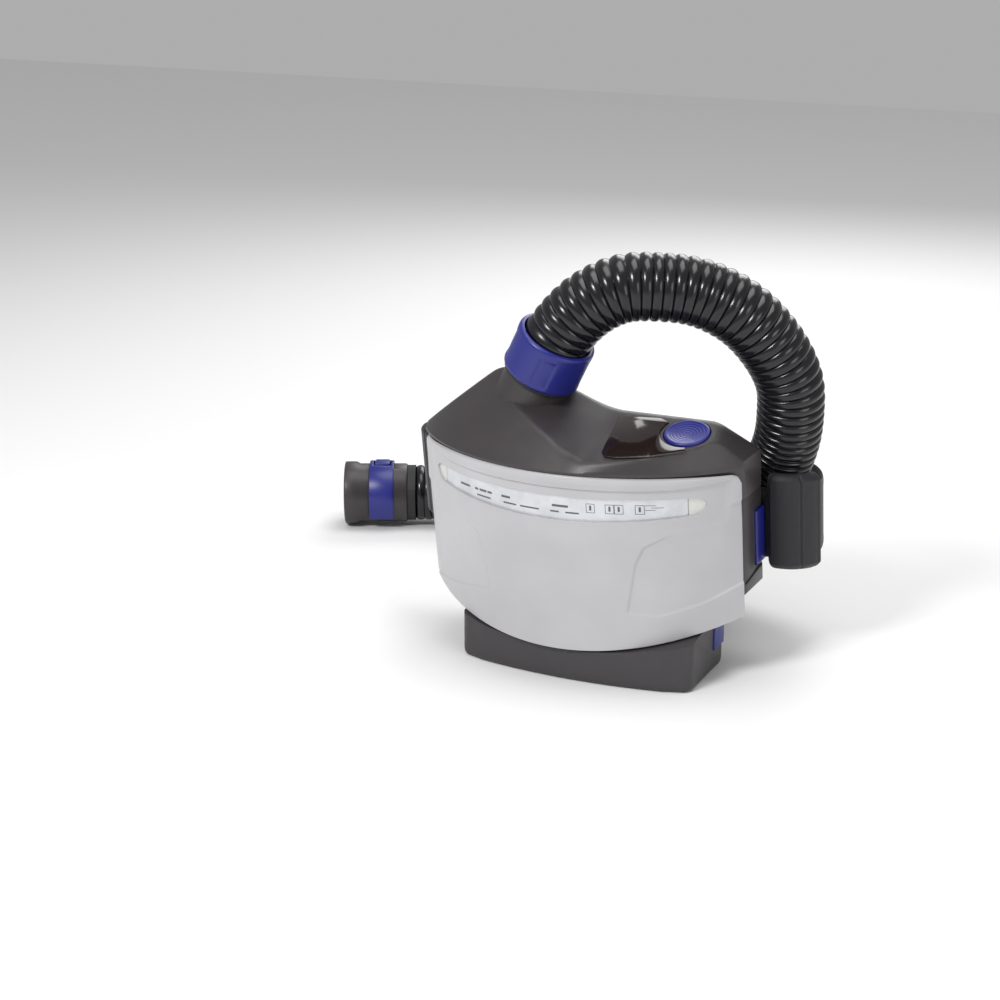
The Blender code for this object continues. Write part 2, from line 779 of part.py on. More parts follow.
def filter_gasket():
    front = COVER_WALL + SLIDE_GAP + FILTER_DEPTH + GAP
    half = BAY_HALF_ANGLE - math.radians(2)
    low, high = level(FILTER_LOW_Z + 1.5 * MM), level(BAY_TOP_Z - 2.5 * MM)
    surface = soft_black("filter_gasket")
    piece = slab("filter_gasket", half, low, high, (front, front + GASKET_DEPTH), surface)
    hole = slab(
        "gasket_opening",
        MEDIA_HALF_ANGLE + math.radians(1),
        level(MEDIA_LOW_Z - 1 * MM),
        level(MEDIA_HIGH_Z + 20 * MM),
        (front - 2 * MM, BAY_DEPTH + 4 * MM),
    )
    return cut(piece, hole)


# ---------------------------------------------------------------- blower


def volute_outline(inset, top_z):
    """The spiral, seen along +Y, with its channel leaving upwards at the left."""
    turns = spread(math.radians(130), math.radians(-180), 40)
    points = []
    for number, turn in enumerate(turns):
        radius = VOLUTE_SMALL + (VOLUTE_LARGE - VOLUTE_SMALL) * number / 40 - inset
        points.append((BLOWER_X + radius * math.cos(turn), BLOWER_Z + radius * math.sin(turn)))
    left = BLOWER_X - VOLUTE_LARGE + inset
    right = BLOWER_X + VOLUTE_SMALL * math.cos(math.radians(130)) - inset
    return points + [(left, top_z), (right, top_z)]


def blower_frame(y=0.0):
    """On the blower's axis, local Z along +Y."""
    return frame_at(Vector((BLOWER_X, y, BLOWER_Z)), Vector((0, 1, 0)))


def volute_base():
    front = VOLUTE_FRONT_Y + VOLUTE_WALL + GAP
    back = VOLUTE_FRONT_Y + VOLUTE_DEPTH
    surface = white_plastic("volute_base")
    outline = volute_outline(0, VOLUTE_TOP_Z)
    piece = plate("volute_base", outline, (front, back), surface, smooth=25)
    inside = volute_outline(VOLUTE_WALL, VOLUTE_TOP_Z + 2 * MM)
    cut(piece, plate("volute_inside", inside, (front - 2 * MM, back - VOLUTE_WALL)))
    return cut(piece, rod("bearing_seat", BEARING_RADIUS + GAP, (0, 40 * MM), blower_frame()))


def volute_cover():
    y_range = (VOLUTE_FRONT_Y, VOLUTE_FRONT_Y + VOLUTE_WALL)
    surface = white_plastic("volute_cover")
    piece = plate("volute_cover", volute_outline(0, VOLUTE_TOP_Z), y_range, surface, smooth=25)
    return cut(piece, rod("inlet_hole", INLET_RADIUS, (-9 * MM, 9 * MM), blower_frame()))


def impeller_span():
    back = VOLUTE_FRONT_Y + VOLUTE_DEPTH - VOLUTE_WALL - 2 * MM
    return back - IMPELLER_WIDTH, back


def impeller():
    """A back disc with a hub and a ring of blades."""
    front, back = impeller_span()
    disc = 1.6 * MM
    inner = 0.62 * IMPELLER_RADIUS
    outline = []
    step = 2 * math.pi / BLADES
    for blade in range(BLADES):
        turn = blade * step
        for radius, lead in ((inner, 0.0), (IMPELLER_RADIUS, 0.42), (IMPELLER_RADIUS, 0.66), (inner, 0.4)):
            angle = turn + lead * step
            outline.append((BLOWER_X + radius * math.cos(angle), BLOWER_Z + radius * math.sin(angle)))
    surface = soft_black("impeller")
    piece = plate("impeller", outline, (front, back - disc / 2), surface)
    eye = ring("impeller_eye", 9 * MM, inner - 1.4 * MM, (front - 2 * MM, back - disc), blower_frame())
    cut(piece, eye)
    cut(piece, rod("impeller_disc", IMPELLER_RADIUS, (back - disc, back), blower_frame()), "UNION")
    return cut(piece, rod("impeller_bore", SHAFT_RADIUS + GAP, (-20 * MM, 60 * MM), blower_frame(), steps=24))


def motor_span():
    front = VOLUTE_FRONT_Y + VOLUTE_DEPTH + GAP
    return front, front + MOTOR_DEPTH


def motor_case():
    front, back = motor_span()
    inner = MOTOR_RADIUS - 1.6 * MM
    floor = back - 3 * MM
    seat = BEARING_RADIUS + GAP
    profile = (
        (inner, front),
        (MOTOR_RADIUS, front),
        (MOTOR_RADIUS, back),
        (seat, back),
        (seat, floor),
        (inner, floor),
    )
    return turned("motor_case", profile, blower_frame(), bare_steel("motor_case"), wrap=True)


def motor_parts():
    front, back = motor_span()
    span = (front + 3 * MM, back - 4.5 * MM)
    copper = finish("motor_stator", (0.35, 0.14, 0.06), 0.4, 0.8)
    ring("motor_stator", 12.4 * MM, MOTOR_RADIUS - 1.9 * MM, span, blower_frame(), copper)
    steel = bare_steel("motor_rotor")
    ring("motor_rotor", SHAFT_RADIUS + GAP, 11.8 * MM, span, blower_frame(), steel, steps=32)
    shaft_span = (impeller_span()[0] + 2 * MM, back - 0.5 * MM)
    rod("motor_shaft", SHAFT_RADIUS, shaft_span, blower_frame(), bare_steel("motor_shaft"), steps=24)
    bore = SHAFT_RADIUS + 0.1 * MM
    for name, low in (("bearing_front", front - 2 * MM), ("bearing_rear", back - 3.5 * MM)):
        span = (low, low + 3 * MM)
        ring(name, bore, BEARING_RADIUS, span, blower_frame(), bare_steel(name), steps=24)


def outlet_duct():
    """From the volute's square outlet to the spigot's round bore."""
    left = BLOWER_X - VOLUTE_LARGE
    right = BLOWER_X + VOLUTE_SMALL * math.cos(math.radians(130))
    low_y, high_y = VOLUTE_FRONT_Y, VOLUTE_FRONT_Y + VOLUTE_DEPTH
    start = Vector(((left + right) / 2, (low_y + high_y) / 2, VOLUTE_TOP_Z + GAP))
    end = outlet_frame() @ Vector((0, 0, SPIGOT_ROOT - 3 * MM))
    corner = 2 * MM
    square = rounded((right - left) / 2, (high_y - low_y) / 2, corner, steps=5)
    outer, inner = [], []
    tilt = outlet_frame().to_3x3()
    for share in spread(0, 1, 8):
        eased = ramp(share, 0, 1)
        for rings, wall in ((outer, 0.0), (inner, 1.5 * MM)):
            points = []
            for x, y in square:
                turn = math.atan2(y, x)
                flat = Vector((x, y, 0)) * (1 - wall / Vector((x, y)).length)
                radius = SPIGOT_BORE - 1 * MM - wall
                around = tilt @ Vector((radius * math.cos(turn), radius * math.sin(turn), 0))
                points.append(start.lerp(end, share) + flat.lerp(around, eased))
            rings.append(points)
    surface = white_plastic("outlet_duct")
    return solid("outlet_duct", outer + inner[::-1], surface, wrap=True, smooth=40)


def control_board():
    y_range = (34 * MM, 35.6 * MM)
    outline = ((40 * MM, 62 * MM), (84 * MM, 62 * MM), (84 * MM, 112 * MM), (40 * MM, 112 * MM))
    return plate("control_board", outline, y_range, board_green("control_board"))


def sounder():
    place = frame_at(Vector((62 * MM, 34 * MM - GAP, 94 * MM)), Vector((0, -1, 0)))
    return rod("sounder", 8 * MM, (0, 5 * MM), place, soft_black("sounder"), steps=24)


def contact_block():
    """Stands in the floor of the motor bay, over the battery's contacts."""
    surface = soft_black("contact_block")
    x_range = (20 * MM + GAP, 56 * MM - GAP)
    return box("contact_block", x_range, (2 * MM + GAP, 16 * MM - GAP), (48 * MM, 52 * MM), surface)


# ---------------------------------------------------------------- battery


def battery_outline(inset):
    """The battery seen from above: a bowed front, small front corners and large rear corners."""
    half = BATTERY_HALF - inset
    front = BATTERY_FRONT_Y + inset
    back = BATTERY_BACK_Y - inset
    small, large = FRONT_CORNER - inset, BACK_CORNER - inset
    side_front = front + BATTERY_FRONT_RISE + small
    points = corner_arc((BATTERY_X + half - large, back - large), large, 0, 90)
    points += corner_arc((BATTERY_X - half + large, back - large), large, 90, 180)
    points += corner_arc((BATTERY_X - half + small, side_front), small, 180, 262, 4)
    for share in spread(-0.8, 0.8, 8):
        points.append((BATTERY_X + share * half, front + BATTERY_FRONT_RISE * share * share))
    points += corner_arc((BATTERY_X + half - small, side_front), small, 278, 360, 4)
    return points


def battery_case():
    top = BATTERY_HEIGHT - BATTERY_LID - GAP
    rings = []
    for inset, z in ((2.6 * MM, 0), (0.8 * MM, 1.0 * MM), (0, 3.4 * MM), (0, top)):
        rings.append([(x, y, z) for x, y in battery_outline(inset)])
    piece = solid("battery_case", rings, casing_grey("battery_case"), smooth=35)
    cut(piece, cover_room("battery_ledge", 0))
    inside = prism("battery_inside", battery_outline(BATTERY_WALL), (BATTERY_WALL, 60 * MM))
    cut(piece, cut(inside, cover_room("battery_inner_ledge", BATTERY_WALL)))
    cut(piece, latch_block(), "UNION")
    side = BATTERY_X + BATTERY_HALF
    return cut(piece, latch_recess("battery_latch_recess", side, BATTERY_LATCH_Y, BATTERY_LATCH_Z, False))


def cover_room(name, wall):
    """The space that the cover's lower edge hangs in, in front of the battery's upper part."""

    def ledge_z(x):
        return cover_bottom_z(x) - COVER_SINK - wall

    depths = (-OPEN_ROOM, COVER_WALL + SLIDE_GAP + wall)
    return slab(name, COVER_HALF_ANGLE, ledge_z, level(CASE_FLOOR_Z + OPEN_ROOM), depths)


def latch_block():
    """The thick place in the battery's side wall that the latch sits in."""
    side = BATTERY_X + BATTERY_HALF
    x_range = (side - 9.5 * MM, side - 1 * MM)
    y_range = (BATTERY_LATCH_Y[0] - 3 * MM, BATTERY_LATCH_Y[1] + 3 * MM)
    return box("battery_latch_block", x_range, y_range, (1 * MM, BATTERY_HEIGHT - 4 * MM))


def battery_lid():
    z_range = (BATTERY_HEIGHT - BATTERY_LID, BATTERY_HEIGHT)
    surface = casing_grey("battery_lid")
    piece = prism("battery_lid", battery_outline(0), z_range, surface, smooth=35)
    return cut(piece, cover_room("lid_ledge", 0))


def battery_cells():
    number = 0
    floor = BATTERY_WALL + GAP + CELL_RADIUS
    pitch_y = 2 * CELL_RADIUS + 2 * MM
    for column in (-1, 1):
        x = BATTERY_X - 4 * MM + column * (CELL_LENGTH / 2 + 1.5 * MM)
        for row in range(3):
            number += 1
            y = -10 * MM + row * pitch_y
            place = frame_at(Vector((x, y, floor)), Vector((1, 0, 0)))
            name = f"cell_{number}"
            half = CELL_LENGTH / 2
            colour = finish(name, (0.05, 0.22, 0.30), 0.35)
            rod(name, CELL_RADIUS, (-half, half), place, colour, steps=24)


def battery_board():
    floor = BATTERY_WALL + 2 * GAP + 2 * CELL_RADIUS
    outline = rounded(52 * MM, 18 * MM, 2 * MM, (BATTERY_X - 4 * MM, 10 * MM), 2)
    return prism("battery_board", outline, (floor, floor + 1.6 * MM), board_green("battery_board"))


def contact_strip():
    """The battery's contacts, on its lid under the contact block."""
    brass = finish("contact_strip", (0.75, 0.55, 0.2), 0.3, 1.0)
    z_range = (BATTERY_HEIGHT + GAP, BATTERY_HEIGHT + 1.3 * MM)
    return box("contact_strip", (24 * MM, 52 * MM), (5 * MM, 13 * MM), z_range, brass)


# ---------------------------------------------------------------- belt


def belt_path(offset, right_end, left_end):
    """The belt's centreline seen from above, moved outwards, from the rear right to the rear left."""
    side = BELT_HALF + offset
    front, back = BELT_FRONT_Y - offset, BELT_BACK_Y + offset
    near, far = BELT_FRONT_RADIUS + offset, BELT_BACK_RADIUS + offset
    points = [(right_end, back)]
    points += corner_arc((side - far, back - far), far, 90, 0, 8)
    points += corner_arc((side - near, front + near), near, 0, -90, 8)
    points += corner_arc((-side + near, front + near), near, -90, -180, 8)
    points += corner_arc((-side + far, back - far), far, 180, 90, 8)
    return points + [(left_end, back)]


def belt_webbing():
    half = WEBBING_THICK / 2
    outline = belt_path(half, BUCKLE_HALF, -BUCKLE_HALF)
    outline += belt_path(-half, BUCKLE_HALF, -BUCKLE_HALF)[::-1]
    surface = webbing_black("belt_webbing")
    return prism("belt_webbing", outline, WEBBING_Z, surface, lean=True, smooth=40)


def pad_outline(side):
    """A hip pad wrapped outside the webbing, round the front corner of the belt."""
    inner = WEBBING_THICK / 2 + GAP
    outer = inner + PAD_THICK
    points = []
    for offset, back_to_front in ((outer, True), (inner, False)):
        radius = BELT_FRONT_RADIUS + offset
        middle = (BELT_HALF - BELT_FRONT_RADIUS, BELT_FRONT_Y + BELT_FRONT_RADIUS)
        run = [(PAD_START_X, BELT_FRONT_Y - offset)]
        last = -math.degrees(math.asin((middle[1] - PAD_END_Y) / radius))
        run += corner_arc(middle, radius, -90, last, 10)
        points += run if back_to_front else run[::-1]
    return [(side * x, y) for x, y in points]


def hip_pad(name, side):
    return prism(name, pad_outline(side), PAD_Z, webbing_black(name), lean=True, smooth=40)


def back_pad():
    near = BELT_FRONT_Y + WEBBING_THICK / 2 + GAP
    outline = rounded(
        BACK_PAD_HALF, BACK_PAD_THICK / 2, 3 * MM, (0, near + BACK_PAD_THICK / 2), 3
    )
    return prism("back_pad", outline, (66 * MM, 132 * MM), webbing_black("back_pad"), lean=True)


def belt_bracket():
    near = CASE_BACK_Y + GAP
    x_range = (-BRACKET_HALF, BRACKET_HALF)
    y_range = (near, near + BRACKET_THICK)
    surface = casing_grey("belt_bracket")
    piece = box("belt_bracket", x_range, y_range, (58 * MM, 132 * MM), surface, lean=True)
    hole = box(
        "bracket_hole",
        (-50 * MM, 50 * MM),
        (near - 5 * MM, near + BRACKET_THICK + 5 * MM),
        (78 * MM, 112 * MM),
        lean=True,
    )
    return cut(piece, hole)


def belt_block(name, x_range, thick, high, surface):
    """A block centred on the rear run of the webbing."""
    middle = sum(WEBBING_Z) / 2
    y_range = (BELT_BACK_Y - thick / 2, BELT_BACK_Y + thick / 2)
    return box(name, x_range, y_range, (middle - high / 2, middle + high / 2), surface, lean=True)


def buckle():
    socket_surface, plug_surface = soft_black("buckle_socket"), soft_black("buckle_plug")
    edge = BUCKLE_HALF - GAP
    socket = belt_block("buckle_socket", (-14 * MM, edge), 11 * MM, 58 * MM, socket_surface)
    mouth = belt_block("buckle_mouth", (-20 * MM, 12 * MM), 6 * MM, 44 * MM, None)
    cut(socket, mouth)
    plug = belt_block("buckle_plug", (-edge, -14 * MM - GAP), 11 * MM, 58 * MM, plug_surface)
    tongue = belt_block("buckle_tongue", (-16 * MM, 11 * MM), 5.2 * MM, 42 * MM, None)
    return cut(plug, tongue, "UNION")


def webbing_slider(name, x):
    half = 11 * MM
    surface = soft_black(name)
    piece = belt_block(name, (x - half, x + half), 7 * MM, 58 * MM, surface)
    thick = WEBBING_THICK + 2 * GAP
    high = WEBBING_Z[1] - WEBBING_Z[0] + 2 * GAP
    return cut(piece, belt_block(name + "_slot", (x - 20 * MM, x + 20 * MM), thick, high, None))


# ---------------------------------------------------------------- breathing tube


def hose_collar():
    seat = SPIGOT_TOP + 2 * GAP
    grip = SPIGOT_RADIUS + 0.7 * MM
    rim = HOSE_RADIUS + SLIDE_GAP
    profile = (
        (grip, 0),
        (COLLAR_RADIUS - 0.8 * MM, 0),
        (COLLAR_RADIUS - 0.1 * MM, 1.2 * MM),
        (COLLAR_RADIUS, 3 * MM),
        (COLLAR_RADIUS, COLLAR_LENGTH - 2.6 * MM),
        (COLLAR_RADIUS - 0.3 * MM, COLLAR_LENGTH - 0.7 * MM),
        (COLLAR_RADIUS - 1 * MM, COLLAR_LENGTH),
        (rim, COLLAR_LENGTH),
        (rim, seat),
        (grip, seat),
    )
    return turned("hose_collar", profile, outlet_frame(), blue("hose_collar"), wrap=True)


def cuff_start():
    return SPIGOT_TOP + 4 * GAP


def hose_cuffs():
    """The two moulded ends inside the collar and behind the headtop connector."""
    span = (cuff_start(), cuff_start() + CUFF_LENGTH)
    outer = HOSE_RADIUS + 0.1 * MM
    ring("hose_cuff", SPIGOT_BORE, outer, span, outlet_frame(), soft_black("hose_cuff"))
    span = (-GAP - CUFF_LENGTH, -GAP)
    place = connector_frame()
    ring("headtop_cuff", SPIGOT_BORE, outer, span, place, soft_black("headtop_cuff"))


def connector_frame():
    """At the connector's hose end, local Z towards its open end."""
    start = CONNECTOR_END - CONNECTOR_LENGTH * CONNECTOR_AXIS
    return frame_at(start, CONNECTOR_AXIS)


def headtop_connector():
    length, radius = CONNECTOR_LENGTH, CONNECTOR_RADIUS
    step = length - SOCKET_DEPTH
    waist = radius - 1.6 * MM
    profile = (
        (SPIGOT_BORE, 0),
        (waist - 1 * MM, 0),
        (waist, 1.5 * MM),
        (waist, 12 * MM),
        (waist, length - 12 * MM),
        (radius, length - 9 * MM),
        (radius, length - 0.8 * MM),
        (radius - 0.8 * MM, length),
        (SOCKET_RADIUS, length),
        (SOCKET_RADIUS, step),
        (SPIGOT_BORE, step),
    )
    surface = casing_grey("headtop_connector")
    piece = turned("headtop_connector", profile, connector_frame(), surface, wrap=True)
    return cut(piece, release_pocket())


def release_pocket():
    """A pocket in the top of the connector under the release button."""
    x_half, z_half = 6 * MM + SLIDE_GAP, 6 * MM + SLIDE_GAP
    piece = solid(
        "release_pocket",
        [
            [(-x_half, y, 20 * MM - z_half), (x_half, y, 20 * MM - z_half)]
            + [(x_half, y, 20 * MM + z_half), (-x_half, y, 20 * MM + z_half)]
            for y in (20.4 * MM, 40 * MM)
        ],
    )
    piece.matrix_world = connector_frame()
    return piece


def release_button():
    """A blue pad, pressed down into the connector to let it go."""
    half = RELEASE_HALF
    top = CONNECTOR_RADIUS + 1.2 * MM
    rings = []
    for y, edge in ((top - 3.6 * MM, half), (top - 0.8 * MM, half), (top, half - 1.2 * MM)):
        low, high = RELEASE_PLACE - edge, RELEASE_PLACE + edge
        rings.append([(-edge, y, low), (edge, y, low), (edge, y, high), (-edge, y, high)])
    piece = solid("release_button", rings, blue("release_button"))
    piece.matrix_world = connector_frame()
    return piece


def release_band():
    """A blue C-shaped band round the connector, open below and under the button."""
    inner = CONNECTOR_RADIUS - 1.6 * MM + GAP
    outer = inner + BAND_THICK
    rings = []
    for turn in spread(math.radians(-40), math.radians(220), 36):
        c, s = math.cos(turn), math.sin(turn)
        rings.append([(r * c, r * s, z) for r, z in band_section(inner, outer)])
    piece = solid("release_band", rings, blue("release_band"), smooth=40)
    piece.matrix_world = connector_frame()
    window = solid(
        "band_window",
        [
            [(-7 * MM, y, 13 * MM), (7 * MM, y, 13 * MM), (7 * MM, y, 27 * MM), (-7 * MM, y, 27 * MM)]
            for y in (18 * MM, 40 * MM)
        ],
    )
    window.matrix_world = connector_frame()
    return cut(piece, window)


def band_section(inner, outer):
    return ((inner, 11 * MM), (outer, 11 * MM), (outer, 30 * MM), (inner, 30 * MM))


def connector_seal():
    floor = CONNECTOR_LENGTH - SOCKET_DEPTH + GAP
    surface = soft_black("connector_seal")
    span = (floor, floor + 2 * MM)
    return ring("connector_seal", SPIGOT_BORE, SOCKET_RADIUS - GAP, span, connector_frame(), surface)


def hose_curve():
    """Evenly spaced points on a smooth curve through the hose's ends and its route."""
    start_frame, end_frame = outlet_frame(), connector_frame()
    start = start_frame @ Vector((0, 0, cuff_start() + CUFF_LENGTH + GAP))
    end = end_frame @ Vector((0, 0, -CUFF_LENGTH - 2 * GAP))
    lead = 11 * MM
    knots = [start, start + lead * OUTLET_AXIS]
    knots += [Vector(point) for point in HOSE_ROUTE]
    knots += [end - lead * CONNECTOR_AXIS, end]
    before = start - lead * OUTLET_AXIS
    after = end + lead * CONNECTOR_AXIS
    dense = smooth_through([before] + knots + [after], 12)
    points = even_points(dense, HOSE_POINTS)
    # A short straight stretch at each end turns the tube's end face square to its cuff.
    square = 3 * MM
    first, last = start + square * OUTLET_AXIS, end - square * CONNECTOR_AXIS
    return [start, first] + points[1:-1] + [last, end]


def smooth_through(knots, steps):
    """A curve through all knots but the first and last, which only steer it."""
    points = []
    for p0, p1, p2, p3 in zip(knots, knots[1:], knots[2:], knots[3:]):
        d1, d2, d3 = (math.sqrt((b - a).length) for a, b in ((p0, p1), (p1, p2), (p2, p3)))
        m1 = (p1 - p0) / d1 - (p2 - p0) / (d1 + d2) + (p2 - p1) / d2
        m2 = (p2 - p1) / d2 - (p3 - p1) / (d2 + d3) + (p3 - p2) / d3
        m1, m2 = m1 * d2, m2 * d2
        for t in spread(0, 1, steps)[:-1]:
            points.append(
                (2 * t**3 - 3 * t**2 + 1) * p1
                + (t**3 - 2 * t**2 + t) * m1
                + (3 * t**2 - 2 * t**3) * p2
                + (t**3 - t**2) * m2
            )
    return points + [knots[-2]]


def even_points(points, count):
    """count + 1 points at even distances along a line of points."""
    lengths = [0.0]
    for before, after in zip(points, points[1:]):
        lengths.append(lengths[-1] + (after - before).length)
    result = []
    place = 0
    for wanted in spread(0, lengths[-1], count):
        while place < len(lengths) - 2 and lengths[place + 1] < wanted:
            place += 1
        share = (wanted - lengths[place]) / (lengths[place + 1] - lengths[place])
        result.append(points[place].lerp(points[place + 1], share))
    return result


def breathing_hose():
    curve = bpy.data.curves.new("breathing_hose", "CURVE")
    curve.dimensions = "3D"
    curve.bevel_depth = HOSE_RADIUS
    curve.bevel_resolution = 3
    curve.use_fill_caps = True
    points = hose_curve()
    spline = curve.splines.new("POLY")
    spline.points.add(len(points) - 1)
    for knot, point in zip(spline.points, points):
        knot.co = (*point, 1.0)
    spline.use_smooth = True
    curve.materials.append(finish("breathing_hose", (0.010, 0.010, 0.013), 0.35))
    hose = bpy.data.objects.new("breathing_hose", curve)
    bpy.context.scene.collection.objects.link(hose)
    return hose


# ---------------------------------------------------------------- the whole object


def clear_scene():
    for thing in list(bpy.data.objects):
        bpy.data.objects.remove(thing, do_unlink=True)


def build_casing():
    rear_housing()
    top_housing()
    for number, (x, z) in enumerate(screw_places(), 1):
        housing_screw(number, x, z)
    latch("cover_latch", COVER_HALF, COVER_LATCH_Y, COVER_LATCH_Z, True, 0.4 * MM)
    display_lens()
    power_button()
    button_switch()
    outlet_seal()


def build_filter():
    filter_cover()
    filter_frame()
    filter_label()
    filter_media()
    filter_gasket()


def build_blower():
    volute_base()
    volute_cover()
    impeller()
    motor_case()
    motor_parts()
    outlet_duct()
    control_board()
    sounder()
    contact_block()


def build_battery():
    battery_case()
    battery_lid()
    battery_cells()
    battery_board()
    contact_strip()
    side = BATTERY_X + BATTERY_HALF
    latch("battery_latch", side, BATTERY_LATCH_Y, BATTERY_LATCH_Z, False, 1.2 * MM)


def build_belt():
    belt_webbing()
    hip_pad("hip_pad_right", 1)
    hip_pad("hip_pad_left", -1)
    back_pad()
    belt_bracket()
    buckle()
    webbing_slider("webbing_slider_right", SLIDER_X)
    webbing_slider("webbing_slider_left", -SLIDER_X)


def build_hose():
    hose_collar()
    hose_cuffs()
    breathing_hose()
    headtop_connector()
    release_button()
    release_band()
    connector_seal()


clear_scene()
build_casing()
build_filter()
build_blower()
build_battery()
build_belt()
build_hose()
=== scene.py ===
import json
import math

import bpy
from mathutils import Matrix, Vector


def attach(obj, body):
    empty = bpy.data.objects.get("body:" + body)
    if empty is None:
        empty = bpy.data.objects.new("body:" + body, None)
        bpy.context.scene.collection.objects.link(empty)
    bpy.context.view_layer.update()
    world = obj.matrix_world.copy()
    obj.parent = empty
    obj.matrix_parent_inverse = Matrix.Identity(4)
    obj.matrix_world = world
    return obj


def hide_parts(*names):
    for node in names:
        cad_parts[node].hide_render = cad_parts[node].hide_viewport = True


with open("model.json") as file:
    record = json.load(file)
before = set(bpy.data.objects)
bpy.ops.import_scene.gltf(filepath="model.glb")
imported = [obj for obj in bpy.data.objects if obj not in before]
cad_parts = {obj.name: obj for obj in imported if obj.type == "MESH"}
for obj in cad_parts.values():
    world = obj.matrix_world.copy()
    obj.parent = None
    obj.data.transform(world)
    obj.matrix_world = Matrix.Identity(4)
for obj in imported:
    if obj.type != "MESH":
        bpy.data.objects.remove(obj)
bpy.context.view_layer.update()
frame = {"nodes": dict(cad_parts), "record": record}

MM = 0.001

# Casing. Everything behind the bowed front leans back by LEAN as it goes down.
LEAN = 0.16
DATUM_Z = 150 * MM
COVER_HALF = 112 * MM
COVER_RISE = 58 * MM
COVER_WALL = 2.5 * MM
COVER_RADIUS = (COVER_HALF**2 + COVER_RISE**2) / (2 * COVER_RISE)
COVER_HALF_ANGLE = math.asin(COVER_HALF / COVER_RADIUS)
ARC_CENTRE_Y = COVER_RADIUS - COVER_RISE
COVER_TOP_Z = 146.5 * MM
COVER_BOTTOM_Z = 22.5 * MM
CASE_BACK_Y = 40 * MM
CASE_SPLIT_Z = 126 * MM
CASE_EDGE_Z = 152 * MM
CASE_CORNER = 4 * MM
CASE_WALL = 2.6 * MM
BAY_FRONT = COVER_WALL + 0.3 * MM
BAY_DEPTH = 28 * MM
BAY_HALF_ANGLE = math.radians(45.6)
BAY_Z = (49.6 * MM, 141.5 * MM)
FRONT_LIP = 0.8 * MM

# Window in the cover, with the label behind it
WINDOW_HALF = 96 * MM
WINDOW_TOP_Z = 131.5 * MM
WINDOW_BOTTOM_Z = 114.8 * MM
WINDOW_BOTTOM_RISE = 6 * MM
LABEL_Z = (111 * MM, 136 * MM)
LABEL_DEPTH = COVER_WALL + 0.6 * MM

# Deck, with the button and the display
DECK = Vector((77.6 * MM, -7.4 * MM, 169.6 * MM))
DECK_RISE = 0.316
BUTTON_RADIUS = 14.7 * MM
LENS_BUTTON_RADIUS = 17.3 * MM

HUMP_X = 24 * MM
HUMP_CURVE = 8.5
HOLLOW_START = 5.5 * MM
HOLLOW_SLOPE = 0.26
HOLLOW_Y = (-22 * MM, 14 * MM)

# Outlet, collar and breathing tube
OUTLET = Vector((-26.5 * MM, 0, 196 * MM))
OUTLET_TILT = math.radians(27.4)
OUTLET_NOD = math.radians(6.4)
OUTLET_AXIS = Vector(
    (
        math.cos(OUTLET_NOD) * math.sin(OUTLET_TILT),
        -math.sin(OUTLET_NOD),
        math.cos(OUTLET_NOD) * math.cos(OUTLET_TILT),
    )
)
SPIGOT_RADIUS = 20.5 * MM
SPIGOT_BORE = 17.5 * MM
SPIGOT_TOP = 10.5 * MM
COLLAR_RADIUS = 26 * MM
COLLAR_LENGTH = 29 * MM
HOSE_RADIUS = 22 * MM
HOSE_START = 18.1 * MM
HOSE_SIDES = 56
RIB_PITCH = 6.9 * MM
RIB_CLOSING = 1.5 * MM  # how much closer the ribs sit where the tube hangs
HANG_START = (0.17, 0.26)
HANG_END = (0.55, 0.65)
RIB_DEPTH = 2.3 * MM
RIB_STEPS = 9
CONNECTOR_END = Vector((-284 * MM, 192.5 * MM, 25 * MM))
CONNECTOR_TURN = math.radians(205.4)
CONNECTOR_AXIS = Vector((math.cos(CONNECTOR_TURN), math.sin(CONNECTOR_TURN), 0))
CONNECTOR_LENGTH = 50 * MM
HOSE_ROUTE = (
    (0.0056, -0.001, 0.2426),
    (0.0264, 0.006, 0.2541),
    (0.0482, 0.016, 0.2552),
    (0.0715, 0.027, 0.2514),
    (0.0958, 0.038, 0.2380),
    (0.1138, 0.050, 0.2148),
    (0.1218, 0.060, 0.1917),
    (0.1212, 0.067, 0.1700),
    (0.1168, 0.075, 0.1480),
    (0.1065, 0.083, 0.1230),
    (0.0900, 0.094, 0.0960),
    (0.0680, 0.110, 0.0700),
    (0.0390, 0.132, 0.0430),
    (0.0030, 0.160, 0.0290),
    (-0.0450, 0.194, 0.0255),
    (-0.0950, 0.219, 0.0250),
    (-0.1450, 0.232, 0.0250),
    (-0.1950, 0.229, 0.0250),
)

# Belt
BELT_HALF = 140 * MM
BELT_FRONT_Y = 45 * MM
BELT_BACK_Y = 130 * MM
BELT_FRONT_RADIUS = 20 * MM
BELT_BACK_RADIUS = 60 * MM
WEBBING_THICK = 1.6 * MM
WEBBING_Z = (72 * MM, 122 * MM)
PAD_THICK = 6 * MM
PAD_Z = (65 * MM, 134 * MM)
PAD_START_X = 114 * MM
PAD_END_Y = 60 * MM
PAD_MIDDLE = 27 * MM  # radius along the middle of the pad's thickness
PAD_RUN = 40 * MM  # length of a pad along the belt
PAD_CORNER = 5 * MM
PAD_RIM = 0.02 * MM
PAD_ROUND = 4.5 * MM
PAD_END_ROUND = 3 * MM
PAD_PLUMP = 0.97
PAD_SEAM = 0.56  # places along a pad, as shares of its length
PAD_LAST_SEAM = 0.86
PAD_RIBS = 34
PAD_RIB_DEPTH = 0.22 * MM
PAD_STEPS = 96
STITCHES = 26
BUCKLE_HALF = 32 * MM

# Battery
BATTERY_X = 8 * MM
BATTERY_HALF = 82 * MM
BATTERY_Y = (-34 * MM, 50 * MM)
BATTERY_BOW = 10 * MM


